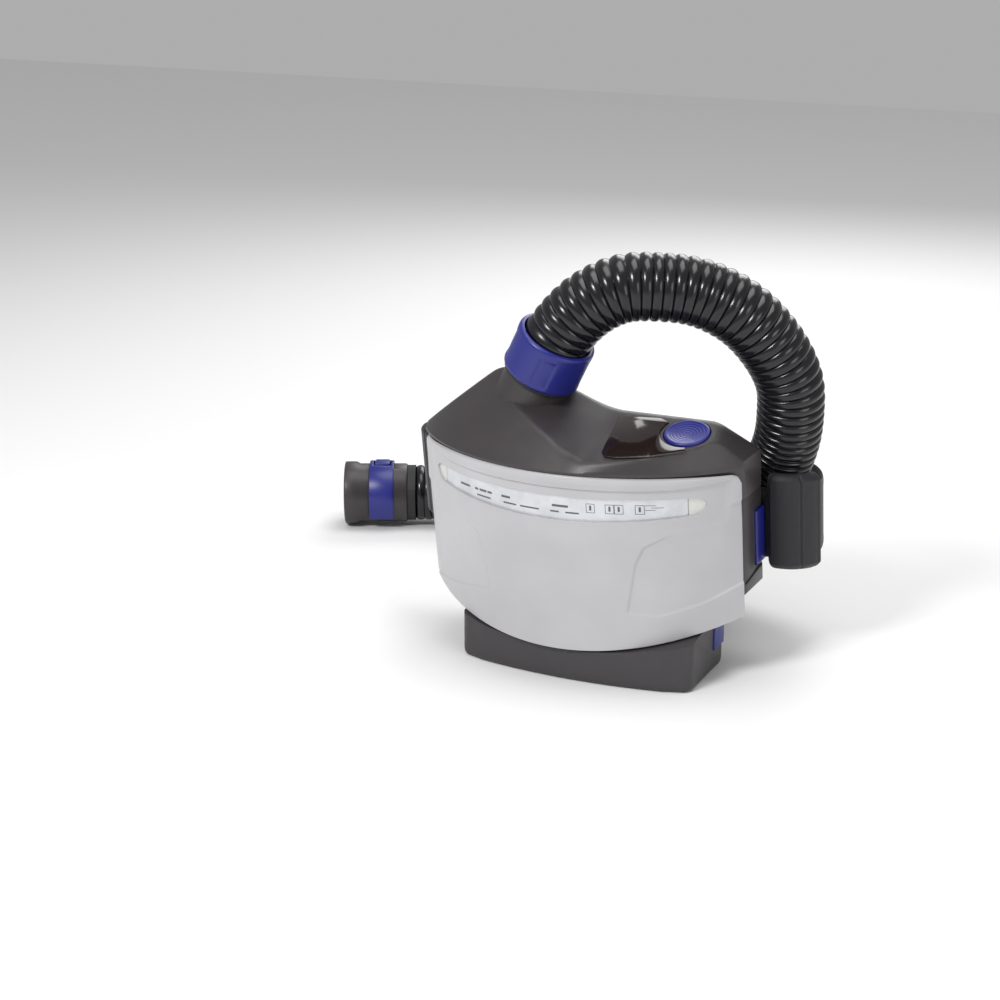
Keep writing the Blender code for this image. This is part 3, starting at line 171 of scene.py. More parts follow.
CAMERA_PLACE = (0.51611529, -1.20496903, 0.52871619)
CAMERA_DIP = math.radians(17.6287627)
CAMERA_TURN = math.radians(25.3935576)
CAMERA_LENS = 75.646


# ---------------------------------------------------------------- camera, floor and light


def add_camera():
    data = bpy.data.cameras.new("camera")
    data.lens = CAMERA_LENS
    data.sensor_width = 36
    data.clip_start = 0.01
    camera = bpy.data.objects.new("camera", data)
    camera.location = CAMERA_PLACE
    camera.rotation_euler = (math.radians(90) - CAMERA_DIP, 0, CAMERA_TURN)
    bpy.context.scene.collection.objects.link(camera)
    bpy.context.scene.camera = camera


def area_light(name, place, target, size, power, tall=None):
    data = bpy.data.lights.new(name, "AREA")
    data.energy = power
    data.size = size
    if tall:
        data.shape = "RECTANGLE"
        data.size_y = tall
    light = bpy.data.objects.new(name, data)
    light.location = place
    aim = Vector(target) - Vector(place)
    light.rotation_euler = aim.to_track_quat("-Z", "Y").to_euler()
    bpy.context.scene.collection.objects.link(light)


def add_studio():
    world = bpy.data.worlds.new("studio")
    bpy.context.scene.world = world
    world.use_nodes = True
    world.node_tree.nodes["Background"].inputs["Color"].default_value = (1, 1, 1, 1)
    world.node_tree.nodes["Background"].inputs["Strength"].default_value = 0.42
    area_light("key", (-0.35, -1.2, 1.25), (0, 0, 0.12), 0.45, 17, 0.3)
    area_light("fill", (1.3, -0.6, 0.5), (0.05, 0, 0.1), 0.6, 3.5)
    area_light("top", (0.1, 0.15, 1.5), (0, 0, 0.1), 0.9, 9)
    area_light("rear", (-0.2, 1.3, 0.9), (0, 0.1, 0.1), 0.8, 7)
    view = bpy.context.scene.view_settings
    view.view_transform = "Standard"
    deselect()
    bpy.ops.mesh.primitive_plane_add(size=6, location=(0, 0, -0.0004))
    floor = bpy.context.object
    floor.name = "studio_floor"
    material, shader = new_material("studio_floor")
    shader.inputs["Base Color"].default_value = (0.87, 0.87, 0.87, 1)
    shader.inputs["Roughness"].default_value = 0.85
    floor.data.materials.append(material)


# ---------------------------------------------------------------- finishes


def new_material(name):
    material = bpy.data.materials.new(name)
    material.use_nodes = True
    return material, material.node_tree.nodes["Principled BSDF"]


def group_start(name, inputs, outputs):
    """A shader node group with its sockets, and its input and output nodes."""
    group = bpy.data.node_groups.new(name, "ShaderNodeTree")
    for socket, kind, value in inputs:
        made = group.interface.new_socket(name=socket, in_out="INPUT", socket_type=kind)
        if value is not None:
            made.default_value = value
    for socket, kind in outputs:
        group.interface.new_socket(name=socket, in_out="OUTPUT", socket_type=kind)
    start = group.nodes.new("NodeGroupInput")
    end = group.nodes.new("NodeGroupOutput")
    return group, start, end


def noise(tree, vector, scale, detail=4.0, roughness=0.55):
    node = tree.nodes.new("ShaderNodeTexNoise")
    node.inputs["Detail"].default_value = detail
    node.inputs["Roughness"].default_value = roughness
    if isinstance(scale, (int, float)):
        node.inputs["Scale"].default_value = scale
    else:
        tree.links.new(scale, node.inputs["Scale"])
    tree.links.new(vector, node.inputs["Vector"])
    return node


def remap(tree, value, low, high, to_low, to_high):
    node = tree.nodes.new("ShaderNodeMapRange")
    for socket, number in (("From Min", low), ("From Max", high), ("To Min", to_low), ("To Max", to_high)):
        if isinstance(number, (int, float)):
            node.inputs[socket].default_value = number
        else:
            tree.links.new(number, node.inputs[socket])
    tree.links.new(value, node.inputs["Value"])
    return node.outputs["Result"]


def moulded_plastic_group():
    """Fine moulded grain, faint cloudiness and rubbed edges, shared by all plastic pieces."""
    group, start, end = group_start(
        "moulded plastic",
        (
            ("Color", "NodeSocketColor", (0.5, 0.5, 0.5, 1)),
            ("Wear Color", "NodeSocketColor", (0.6, 0.6, 0.6, 1)),
            ("Grain Scale", "NodeSocketFloat", 900.0),
            ("Grain", "NodeSocketFloat", 0.3),
            ("Wear", "NodeSocketFloat", 0.2),
            ("Roughness", "NodeSocketFloat", 0.45),
        ),
        (("Color", "NodeSocketColor"), ("Roughness", "NodeSocketFloat"), ("Height", "NodeSocketFloat")),
    )
    nodes, links = group.nodes, group.links
    coordinates = nodes.new("ShaderNodeTexCoord").outputs["Object"]
    grain = noise(group, coordinates, start.outputs["Grain Scale"], 3.0, 0.6)
    cloud = noise(group, coordinates, 14.0, 3.0)
    smear = noise(group, coordinates, 60.0, 5.0, 0.65)
    edge = remap(group, nodes.new("ShaderNodeNewGeometry").outputs["Pointiness"], 0.53, 0.62, 0.0, 1.0)
    worn = nodes.new("ShaderNodeMath")
    worn.operation = "MULTIPLY"
    links.new(edge, worn.inputs[0])
    links.new(remap(group, smear.outputs["Fac"], 0.4, 0.65, 0.0, start.outputs["Wear"]), worn.inputs[1])
    shade = nodes.new("ShaderNodeHueSaturation")
    links.new(start.outputs["Color"], shade.inputs["Color"])
    links.new(remap(group, cloud.outputs["Fac"], 0.3, 0.7, 0.93, 1.06), shade.inputs["Value"])
    mix = nodes.new("ShaderNodeMix")
    mix.data_type = "RGBA"
    links.new(worn.outputs[0], mix.inputs["Factor"])
    links.new(shade.outputs["Color"], mix.inputs["A"])
    links.new(start.outputs["Wear Color"], mix.inputs["B"])
    links.new(mix.outputs["Result"], end.inputs["Color"])
    rough = nodes.new("ShaderNodeMath")
    rough.operation = "ADD"
    links.new(start.outputs["Roughness"], rough.inputs[0])
    links.new(remap(group, smear.outputs["Fac"], 0.35, 0.7, -0.04, 0.06), rough.inputs[1])
    links.new(rough.outputs[0], end.inputs["Roughness"])
    height = nodes.new("ShaderNodeMath")
    height.operation = "MULTIPLY"
    links.new(grain.outputs["Fac"], height.inputs[0])
    links.new(start.outputs["Grain"], height.inputs[1])
    links.new(height.outputs[0], end.inputs["Height"])
    return group


def plastic(name, colour, roughness, grain=0.3, scale=900.0, wear=0.25, worn=None, specular=0.5):
    material, shader = new_material(name)
    tree = material.node_tree
    node = tree.nodes.new("ShaderNodeGroup")
    node.node_tree = MOULDED
    node.inputs["Color"].default_value = (*colour, 1)
    node.inputs["Wear Color"].default_value = (*(worn or [min(1, c * 1.5 + 0.02) for c in colour]), 1)
    node.inputs["Grain Scale"].default_value = scale
    node.inputs["Grain"].default_value = grain
    node.inputs["Wear"].default_value = wear
    node.inputs["Roughness"].default_value = roughness
    bump = tree.nodes.new("ShaderNodeBump")
    bump.inputs["Distance"].default_value = 0.0001
    tree.links.new(node.outputs["Color"], shader.inputs["Base Color"])
    tree.links.new(node.outputs["Roughness"], shader.inputs["Roughness"])
    tree.links.new(node.outputs["Height"], bump.inputs["Height"])
    tree.links.new(bump.outputs["Normal"], shader.inputs["Normal"])
    shader.inputs["Specular IOR Level"].default_value = specular
    return material


def cloth(name, colour, across, along, depth, uv=False, roughness=0.85, sheen=0.25):
    """Woven cloth: two crossed sets of fine waves."""
    material, shader = new_material(name)
    tree = material.node_tree
    source = tree.nodes.new("ShaderNodeTexCoord").outputs["UV" if uv else "Object"]
    heights = []
    for direction, scale in (("X", across), ("Z" if not uv else "Y", along)):
        wave = tree.nodes.new("ShaderNodeTexWave")
        wave.bands_direction = direction
        wave.inputs["Scale"].default_value = scale
        wave.inputs["Distortion"].default_value = 0.4
        wave.inputs["Detail"].default_value = 1.0
        tree.links.new(source, wave.inputs["Vector"])
        heights.append(wave.outputs["Fac"])
    weave = tree.nodes.new("ShaderNodeMath")
    weave.operation = "MULTIPLY"
    tree.links.new(heights[0], weave.inputs[0])
    tree.links.new(heights[1], weave.inputs[1])
    shade = tree.nodes.new("ShaderNodeHueSaturation")
    shade.inputs["Color"].default_value = (*colour, 1)
    fuzz = noise(tree, tree.nodes.new("ShaderNodeTexCoord").outputs["Object"], 220.0, 4.0)
    add = tree.nodes.new("ShaderNodeMath")
    add.operation = "ADD"
    tree.links.new(remap(tree, weave.outputs[0], 0.0, 1.0, 0.55, 1.25), add.inputs[0])
    tree.links.new(remap(tree, fuzz.outputs["Fac"], 0.3, 0.7, -0.15, 0.2), add.inputs[1])
    tree.links.new(add.outputs[0], shade.inputs["Value"])
    tree.links.new(shade.outputs["Color"], shader.inputs["Base Color"])
    bump = tree.nodes.new("ShaderNodeBump")
    bump.inputs["Distance"].default_value = depth
    tree.links.new(weave.outputs[0], bump.inputs["Height"])
    tree.links.new(bump.outputs["Normal"], shader.inputs["Normal"])
    shader.inputs["Roughness"].default_value = roughness
    shader.inputs["Sheen Weight"].default_value = sheen
    return material


def metal(name, colour, roughness, scale=300.0):
    """Bare metal with faint brushing."""
    material, shader = new_material(name)
    tree = material.node_tree
    brushing = noise(tree, tree.nodes.new("ShaderNodeTexCoord").outputs["Object"], scale, 6.0)
    tree.links.new(
        remap(tree, brushing.outputs["Fac"], 0.3, 0.7, roughness - 0.08, roughness + 0.1),
        shader.inputs["Roughness"],
    )
    shader.inputs["Base Color"].default_value = (*colour, 1)
    shader.inputs["Metallic"].default_value = 1.0
    return material


def label_foil():
    """Silver label film: satin, with faint crinkles."""
    material, shader = new_material("label_foil")
    tree = material.node_tree
    source = tree.nodes.new("ShaderNodeTexCoord").outputs["Object"]
    crinkle = noise(tree, source, 55.0, 5.0, 0.6)
    shade = tree.nodes.new("ShaderNodeHueSaturation")
    shade.inputs["Color"].default_value = (0.62, 0.63, 0.66, 1)
    tree.links.new(remap(tree, crinkle.outputs["Fac"], 0.35, 0.65, 0.88, 1.1), shade.inputs["Value"])
    tree.links.new(shade.outputs["Color"], shader.inputs["Base Color"])
    tree.links.new(remap(tree, crinkle.outputs["Fac"], 0.3, 0.7, 0.3, 0.5), shader.inputs["Roughness"])
    bump = tree.nodes.new("ShaderNodeBump")
    bump.inputs["Distance"].default_value = 0.0006
    bump.inputs["Strength"].default_value = 0.5
    tree.links.new(crinkle.outputs["Fac"], bump.inputs["Height"])
    tree.links.new(bump.outputs["Normal"], shader.inputs["Normal"])
    shader.inputs["Metallic"].default_value = 0.55
    return material


# ---------------------------------------------------------------- modelling helpers


def deselect():
    for piece in bpy.context.selected_objects:
        piece.select_set(False)


def take(piece):
    deselect()
    piece.select_set(True)
    bpy.context.view_layer.objects.active = piece


def close_up(piece, wrap=True):
    """Merges a seam, fills open ends and turns all faces outwards."""
    take(piece)
    bpy.ops.object.mode_set(mode="EDIT")
    bpy.ops.mesh.select_all(action="SELECT")
    bpy.ops.mesh.remove_doubles(threshold=2e-6)
    if wrap:
        bpy.ops.mesh.select_all(action="SELECT")
        bpy.ops.mesh.fill_holes(sides=0)
    bpy.ops.mesh.select_all(action="SELECT")
    bpy.ops.mesh.normals_make_consistent(inside=False)
    bpy.ops.object.mode_set(mode="OBJECT")


def laid_grid(name, across, along, place, closed=True):
    """A grid shaped over a surface: place(u, v) gives a point, with u and v from 0 to 1."""
    deselect()
    bpy.ops.mesh.primitive_grid_add(x_subdivisions=across, y_subdivisions=along, size=1)
    piece = bpy.context.object
    piece.name = name
    for vertex in piece.data.vertices:
        vertex.co = place(vertex.co.x + 0.5, vertex.co.y + 0.5)
    close_up(piece, closed)
    return piece


def modified(piece, kind, **settings):
    """Adds a modifier and applies it at once."""
    take(piece)
    modifier = piece.modifiers.new(kind, kind)
    for key, value in settings.items():
        setattr(modifier, key, value)
    bpy.ops.object.modifier_apply(modifier=modifier.name)
    return piece


def eased(piece, width, segments=2, angle=35):
    """Rounds a piece's edges."""
    return modified(
        piece,
        "BEVEL",
        width=width,
        segments=segments,
        limit_method="ANGLE",
        angle_limit=math.radians(angle),
        harden_normals=False,
    )


def smoothed(piece, angle=35):
    take(piece)
    bpy.ops.object.shade_smooth_by_angle(angle=math.radians(angle))
    return piece


def cut(piece, cutter, operation="DIFFERENCE"):
    modified(piece, "BOOLEAN", object=cutter, operation=operation, solver="EXACT")
    bpy.data.objects.remove(cutter)
    return piece


def finished(piece, material, body, slot, *nodes):
    """Gives a piece its finish and its body, and hides the CAD nodes that it stands for."""
    piece.data.materials.clear()
    piece.data.materials.append(material)
    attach(piece, body)
    if nodes:
        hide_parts(*nodes)
    return piece


def turned(name, profile, place, steps=96):
    """Turns (radius, height) points about local Z, extruding ring after ring."""
    deselect()
    radius, height = profile[0]
    bpy.ops.mesh.primitive_circle_add(vertices=steps, radius=radius, location=(0, 0, height))
    piece = bpy.context.object
    piece.name = name
    bpy.ops.object.transform_apply(location=True, rotation=False, scale=False)
    bpy.ops.object.mode_set(mode="EDIT")
    bpy.ops.mesh.select_all(action="SELECT")
    for next_radius, next_height in profile[1:]:
        rise = (0, 0, next_height - height)
        bpy.ops.mesh.extrude_edges_move(TRANSFORM_OT_translate={"value": rise})
        share = next_radius / radius
        bpy.ops.transform.resize(value=(share, share, 1), center_override=(0, 0, next_height))
        radius, height = next_radius, next_height
    bpy.ops.object.mode_set(mode="OBJECT")
    close_up(piece)
    piece.data.transform(place)
    return piece


def block(name, x_range, y_range, z_range, lean=False):
    deselect()
    ranges = (x_range, y_range, z_range)
    middle = [sum(pair) / 2 for pair in ranges]
    size = [pair[1] - pair[0] for pair in ranges]
    bpy.ops.mesh.primitive_cube_add(size=1, location=middle, scale=size)
    piece = bpy.context.object
    piece.name = name
    bpy.ops.object.transform_apply(location=True, rotation=False, scale=True)
    if lean:
        for vertex in piece.data.vertices:
            vertex.co.y = leaned(vertex.co.y, vertex.co.z)
    return piece


def frame_at(place, axis, up=Vector((0, 0, 1))):
    """A local frame at place, with Z along axis and Y near up."""
    z = axis.normalized()
    x = up.cross(z).normalized()
    y = z.cross(x)
    matrix = Matrix((x, y, z)).transposed().to_4x4()
    matrix.translation = place
    return matrix


def copy_of(node, width, segments=2, angle=35):
    """A node's own shape with its edges rounded."""
    source = frame["nodes"][node]
    piece = bpy.data.objects.new(node + "_finished", source.data.copy())
    bpy.context.scene.collection.objects.link(piece)
    take(piece)
    bpy.ops.object.mode_set(mode="EDIT")
    bpy.ops.mesh.select_all(action="SELECT")
    bpy.ops.mesh.remove_doubles(threshold=2e-6)
    bpy.ops.mesh.dissolve_limited(angle_limit=math.radians(1))
    bpy.ops.object.mode_set(mode="OBJECT")
    if width:
        eased(piece, width, segments, angle)
    return smoothed(piece, 40)


def ramp(value, start, end):
    share = min(max((value - start) / (end - start), 0.0), 1.0)
    return share * share * (3 - 2 * share)


def smaller(first, second, blend):
    share = max(blend - abs(first - second), 0.0) / blend
    return min(first, second) - share * share * blend / 4


def leaned(y, z):
    return y + LEAN * (DATUM_Z - z)


def arc_y(x, depth):
    radius = COVER_RADIUS - depth
    return ARC_CENTRE_Y - math.sqrt(max(radius * radius - x * x, 0.0))


def wrapped(angle, depth, z):
    """A point under the cover's outer face: angle across it, depth behind it, height z."""
    radius = COVER_RADIUS - depth
    y = ARC_CENTRE_Y - radius * math.cos(angle)
    return Vector((radius * math.sin(angle), leaned(y, z), z))


def slab(name, half_angle, z_low, z_high, depths, steps=48):
    """A curved block that follows the bowed front."""
    corners = ((0, 0), (0, 1), (1, 1), (1, 0), (0, 0))

    def place(u, v):
        angle = (2 * v - 1) * half_angle
        x = COVER_RADIUS * math.sin(angle)
        side, end = corners[round(u * 4)]
        return wrapped(angle, depths[side], (z_low(x), z_high(x))[end])

    return laid_grid(name, 4, steps, place)


# ---------------------------------------------------------------- cover, window and label


def cover_top_z(x):
    corner = 5 * MM
    past = min(max(abs(x) - (COVER_HALF - corner), 0.0) / corner, 1.0)
    return COVER_TOP_Z - 1.4 * MM * (x / 0.1) ** 4 - corner * (1 - math.sqrt(1 - past * past))


def cover_bottom_z(x):
    return COVER_BOTTOM_Z + 17 * MM * (x / 0.1) ** 2


def window_edges(x):
    """The window's lower and upper edge at x, drawn together round its ends."""
    low = WINDOW_BOTTOM_Z + WINDOW_BOTTOM_RISE * (x / 0.1) ** 2
    high = WINDOW_TOP_Z
    end = 7 * MM
    past = min(max(abs(x) - (WINDOW_HALF - end), 0.0) / end, 1.0)
    share = 1 - math.sqrt(1 - past * past)
    middle = high - 4.5 * MM
    return low + (middle - low) * share, high + (middle - high) * share


def inside_distance(x, z, corners):
    """Distance inside a convex outline, negative outside."""
    nearest = 1.0
    for (x1, z1), (x2, z2) in zip(corners, corners[1:] + corners[:1]):
        length = math.hypot(x2 - x1, z2 - z1)
        nearest = min(nearest, ((x2 - x1) * (z - z1) - (z2 - z1) * (x - x1)) / length)
    return nearest


PANEL_DEPTH = 0.9 * MM
BEAD_TALL = 8.6 * MM
BEAD_STEP = 1.3 * MM
BEAD_CROWN = 0.6 * MM
# Outlines of the two sunk side panels, as (x, z) in millimetres, running anticlockwise
RIGHT_PANEL = [(50, 53), (69, 50.5), (93, 58), (118, 72), (118, 129), (92, 117), (61, 99), (56, 88)]
LEFT_PANEL = [(-118, 40), (-75, 49.5), (-46, 55.5), (-48, 67)]
LEFT_PANEL += [(-55, 95), (-75, 105), (-97, 110), (-118, 113)]


def cover_relief(x, z):
    """How far the cover's face lies behind its outermost surface.

    The side panels are sunk by PANEL_DEPTH. A rounded bead runs along the top, and the face below
    it steps back by BEAD_STEP, which fades out further down.
    """
    step = 0.0
    for corners in (RIGHT_PANEL, LEFT_PANEL):
        inside = inside_distance(x, z, [(a * MM, b * MM) for a, b in corners])
        step = max(step, PANEL_DEPTH * ramp(inside, -0.6 * MM, 0.7 * MM))
    top = cover_top_z(x)
    bead = top - BEAD_TALL + 4.2 * MM * (x / 0.1) ** 6
    drop = bead - z
    below = BEAD_STEP * ramp(drop, -0.1 * MM, 0.9 * MM) * (1 - ramp(abs(x), 0.104, 0.111))
    fade = 1 - ramp(drop, 24 * MM, 40 * MM)
    crown = BEAD_CROWN
    if z > bead:
        crown *= ramp(abs(drop + 4.2 * MM), 0, 4.5 * MM)
    lip = 1.2 * MM * ramp(z, top - 1.8 * MM, top) ** 2
    return max(step, below * fade) + crown * (1 - ramp(drop, 8 * MM, 30 * MM)) + lip


def cover_columns():
    """Places across the cover, closer together round the window's ends."""
    ends = [WINDOW_HALF - 7 * MM * (1 - math.sin(math.radians(9 * k))) for k in range(11)]
    inner = [0.8 * MM * k for k in range(0, 111)]
    outer = [WINDOW_HALF + (COVER_HALF - WINDOW_HALF) * k / 20 for k in range(1, 21)]
    half = inner + ends + outer
    return [-x for x in half[:0:-1]] + half


def filter_cover():
    """The light cover: two bands of face that part round the window, then its wall and rounded rims."""
    columns = cover_columns()
    lower_rows, upper_rows = 130, 40

    def band(name, rows, edges):
        def place(u, v):
            x = columns[round(u * (len(columns) - 1))]
            low, high = edges(x)
            z = low + (high - low) * v
            return wrapped(math.asin(min(max(x / COVER_RADIUS, -1), 1)), cover_relief(x, z), z)

        return laid_grid(name, len(columns) - 1, rows, place, closed=False)

    piece = band("cover_face", lower_rows, lambda x: (cover_bottom_z(x), window_edges(x)[0]))
    upper = band("cover_rim", upper_rows, lambda x: (window_edges(x)[1], cover_top_z(x)))
    take(piece)
    upper.select_set(True)
    bpy.ops.object.join()
    piece.name = "filter_cover_shell"
    close_up(piece, wrap=False)
    front = piece.data.polygons[len(piece.data.polygons) // 3]
    if front.normal.y > 0:
        piece.data.flip_normals()
    modified(piece, "SOLIDIFY", thickness=COVER_WALL - 0.4 * MM, offset=-1, use_rim=True)
    eased(piece, 0.5 * MM, 3, 50)
    smoothed(piece, 40)
    return finished(piece, COVER_PLASTIC, "cover", "cover", "filter_cover")


def label_piece(name, x_range, z_range, depth, material, steps=2):
    """A thin patch printed or stuck on the label's face."""

    def place(u, v):
        x = x_range[0] + (x_range[1] - x_range[0]) * v
        z = z_range[0] + (z_range[1] - z_range[0]) * (1 if 0.25 < u < 0.75 else 0)
        angle = math.asin(x / COVER_RADIUS)
        return wrapped(angle, LABEL_DEPTH + (depth if u < 0.5 or u > 0.99 else -0.05 * MM), z)

    piece = laid_grid(name, 4, steps, place)
    return finished(piece, material, "cover", "label")


def filter_label():
    """The silver strip seen through the window, with plain pictogram boxes and bars."""
    half = math.asin(0.9 * WINDOW_HALF / COVER_RADIUS)
    label = slab(
        "label_strip", half, lambda x: LABEL_Z[0], lambda x: LABEL_Z[1],
        (LABEL_DEPTH, LABEL_DEPTH + 0.3 * MM),
    )
    smoothed(label, 30)
    finished(label, LABEL_FOIL, "cover", "label", "filter_label")
    marks = []
    for x, width in ((-66, 9), (-49, 15), (-30, 7), (10, 11)):
        marks.append((x, width, 124.4, 1.6))
    for x, width in ((-49, 12), (-27, 10), (-12, 14), (6, 6), (18, 9)):
        marks.append((x, width, 120.3, 1.1))
    for x in (30, 42, 47.6, 60):
        marks += [(x - 2.6, 0.35, 124.6, 6.2), (x + 2.6, 0.35, 124.6, 6.2)]
        marks += [(x, 5.2, 127.6, 0.35), (x, 5.2, 121.6, 0.35), (x, 1.3, 124.8, 3.4)]
    marks += [(66, 6, 127.4, 0.35), (66, 6, 124.2, 0.35), (70, 7, 125.8, 0.35)]
    for number, (x, width, z, height) in enumerate(marks):
        span = ((x - width / 2) * MM, (x + width / 2) * MM)
        tall = ((z - height / 2) * MM, (z + height / 2) * MM)
        label_piece(f"label_mark_{number:02d}", span, tall, 0.02 * MM, LABEL_INK)


# ---------------------------------------------------------------- dark housings


def deck_height(x, y):
    """The sloping deck. It rises into a hump at the left, hollowed in front of the spigot."""
    run = max(HUMP_X - x, 0.0)
    hump = HUMP_CURVE * run**2
    hollow = min(hump, HOLLOW_START + HOLLOW_SLOPE * (run - math.sqrt(HOLLOW_START / HUMP_CURVE)))
    share = ramp(y, HOLLOW_Y[0], HOLLOW_Y[1])
    return DECK.z + DECK_RISE * (y - DECK.y) + hollow + (hump - hollow) * share


def front_slope(x, y):
    inside = y - arc_y(x, FRONT_LIP)
    steep = 1.05 + 2.3 * ramp(x, 12 * MM, 55 * MM)
    return COVER_TOP_Z + 1.5 * MM + steep * inside


def top_height(x, y):
    back_steep = 1.3 - 0.5 * ramp(x, -20 * MM, 30 * MM)
    height = smaller(deck_height(x, y), CASE_EDGE_Z + back_steep * (CASE_BACK_Y - y), 6 * MM)
    height = smaller(height, CASE_EDGE_Z + 1.2 * (COVER_HALF - x), 8 * MM)
    height = smaller(height, CASE_EDGE_Z + 0.8 * (COVER_HALF + x), 8 * MM)
    height = smaller(height, 197 * MM, 6 * MM)
    height = smaller(height, front_slope(x, y), 2.5 * MM)
    return max(height, COVER_TOP_Z + 1.2 * MM)


def case_back_y(x):
    past = max(abs(x) - (COVER_HALF - CASE_CORNER), 0.0) / CASE_CORNER
    return CASE_BACK_Y - CASE_CORNER * (1 - math.sqrt(max(1 - past * past, 0.0)))


def outlet_frame():
    return frame_at(OUTLET, OUTLET_AXIS, Vector((0, 1, 0)))


def deck_frame():
    angle = math.atan(DECK_RISE)
    normal = Vector((0, -math.sin(angle), math.cos(angle)))
    return frame_at(DECK, normal, Vector((0, 1, 0)))


def deck_outline(grow):
    """The display's outline on the deck, measured from the button's centre, in a ring."""
    around = LENS_BUTTON_RADIUS - grow
    points = [(-50 * MM - grow, 9.6 * MM + grow), (-22 * MM, 12.6 * MM + grow)]
    for k in range(25):
        turn = math.radians(150 + 135 * k / 24)
        points.append((around * math.cos(turn), around * math.sin(turn)))
    points += [(6.5 * MM + grow, -20.6 * MM), (-14 * MM, -31.6 * MM - grow)]
    points += [(-34 * MM, -37.6 * MM - grow), (-41 * MM - grow, -37 * MM - grow)]
    points.append((-45 * MM - grow, -32 * MM))
    return points


def deck_block(name, outline, heights):
    """An outline on the deck extruded along the deck's normal."""
    deselect()
    bpy.ops.mesh.primitive_circle_add(vertices=len(outline), radius=1)
    piece = bpy.context.object
    piece.name = name
    for vertex, (x, y) in zip(piece.data.vertices, outline):
        vertex.co = (x, y, heights[0])
    bpy.ops.object.mode_set(mode="EDIT")
    bpy.ops.mesh.select_all(action="SELECT")
    bpy.ops.mesh.extrude_edges_move(TRANSFORM_OT_translate={"value": (0, 0, heights[1] - heights[0])})
    bpy.ops.object.mode_set(mode="OBJECT")
    close_up(piece)
    piece.data.transform(deck_frame())
    return piece


def filter_bay():
    low, high = (lambda x: BAY_Z[0]), (lambda x: BAY_Z[1])
    return slab("filter_bay", BAY_HALF_ANGLE, low, high, (-6 * MM, BAY_DEPTH))


def top_housing():
    """The sloping deck and the hump, with the outlet spigot standing out of it."""
    stations = [COVER_HALF - CASE_CORNER * s for s in (0, 0.03, 0.12, 0.3, 0.55, 0.8, 1.0)]
    inner = COVER_HALF - CASE_CORNER - 1 * MM
    count = 92
    middle = [-inner + 2 * inner * k / count for k in range(count + 1)]
    stations = [-x for x in stations] + middle + stations[::-1]
    rows = 70
    lip_z, bottom = COVER_TOP_Z + 0.6 * MM, CASE_SPLIT_Z + 0.15 * MM

    def place(u, v):
        x = stations[round(v * (len(stations) - 1))]
        index = round(u * (rows + 5))
        deep, back = arc_y(x, BAY_FRONT), case_back_y(x)
        front = arc_y(x, FRONT_LIP) + LEAN * (DATUM_Z - lip_z)
        if index in (0, rows + 5):
            return Vector((x, leaned(deep, bottom), bottom))
        if index == 1:
            return Vector((x, leaned(deep, lip_z), lip_z))
        if index == 2:
            return Vector((x, front, lip_z))
        if index == rows + 4:
            return Vector((x, leaned(back, bottom), bottom))
        share = (index - 3) / rows
        share = 0.45 * share + 0.55 * share * share
        y = front + (back - front) * share
        return Vector((x, y, top_height(x, y)))

    piece = laid_grid("top_housing_shell", rows + 5, len(stations) - 1, place)
    eased(piece, 0.8 * MM, 2, 50)
    cavity_x = 88 * MM

    def cavity_place(u, v):
        x = -cavity_x + 2 * cavity_x * v
        front, back = arc_y(x, BAY_DEPTH + CASE_WALL), CASE_BACK_Y - CASE_WALL
        low = CASE_SPLIT_Z - 2 * MM
        index = round(u * 10)
        if index in (0, 10):
            return Vector((x, leaned(back, low), low))
        if index == 1:
            return Vector((x, leaned(front, low), low))
        share = (index - 2) / 7
        y = leaned(front, CASE_EDGE_Z) * (1 - share) + leaned(back, CASE_EDGE_Z) * share
        return Vector((x, y, top_height(x, y) - 1.4 * CASE_WALL))

    cut(piece, laid_grid("top_cavity", 10, 24, cavity_place))
    cut(piece, filter_bay())
    boss = turned("button_boss", ((17.7 * MM, -9.2 * MM), (17.7 * MM, -1.2 * MM)), deck_frame(), 64)
    cut(piece, boss, "UNION")
    outlet = outlet_frame()
    room = COLLAR_RADIUS + 0.6 * MM
    cut(piece, turned("outlet_seat", ((room, -3.2 * MM), (room, COLLAR_LENGTH)), outlet))
    flare = ((24.4 * MM, -30 * MM), (23.2 * MM, -19 * MM), (22.7 * MM, -12 * MM), (22.4 * MM, -6 * MM))
    flare += ((22.2 * MM, -3.4 * MM), (SPIGOT_RADIUS, -3.1 * MM), (SPIGOT_RADIUS, SPIGOT_TOP))
    cut(piece, turned("spigot", flare, outlet), "UNION")
    bore = ((SPIGOT_BORE, -44 * MM), (SPIGOT_BORE, 2 * SPIGOT_TOP))
    cut(piece, turned("spigot_bore", bore, outlet))
    pocket = ((BUTTON_RADIUS + 0.6 * MM, -6.6 * MM), (BUTTON_RADIUS + 0.6 * MM, 9 * MM))
    cut(piece, turned("button_pocket", pocket, deck_frame()))
    cut(piece, deck_block("lens_recess", deck_outline(0.3 * MM), (-1.5 * MM, 9 * MM)))
    smoothed(piece, 30)
    return finished(piece, CASING_PLASTIC, "unit", "casing", "top_housing")


def side_panel_cut(side):
    """The shallow panel in each side wall that leaves a thicker block below it."""
    x = side * COVER_HALF
    outer = (x - 1.1 * MM, x + 6 * MM) if side > 0 else (x - 6 * MM, x + 1.1 * MM)
    piece = block("side_panel", outer, (3 * MM, 47 * MM), (71 * MM, 128 * MM), lean=True)
    for vertex in piece.data.vertices:
        if vertex.co.z < 0.1 and vertex.co.y < 0.03:
            vertex.co.z -= 6 * MM
    return piece


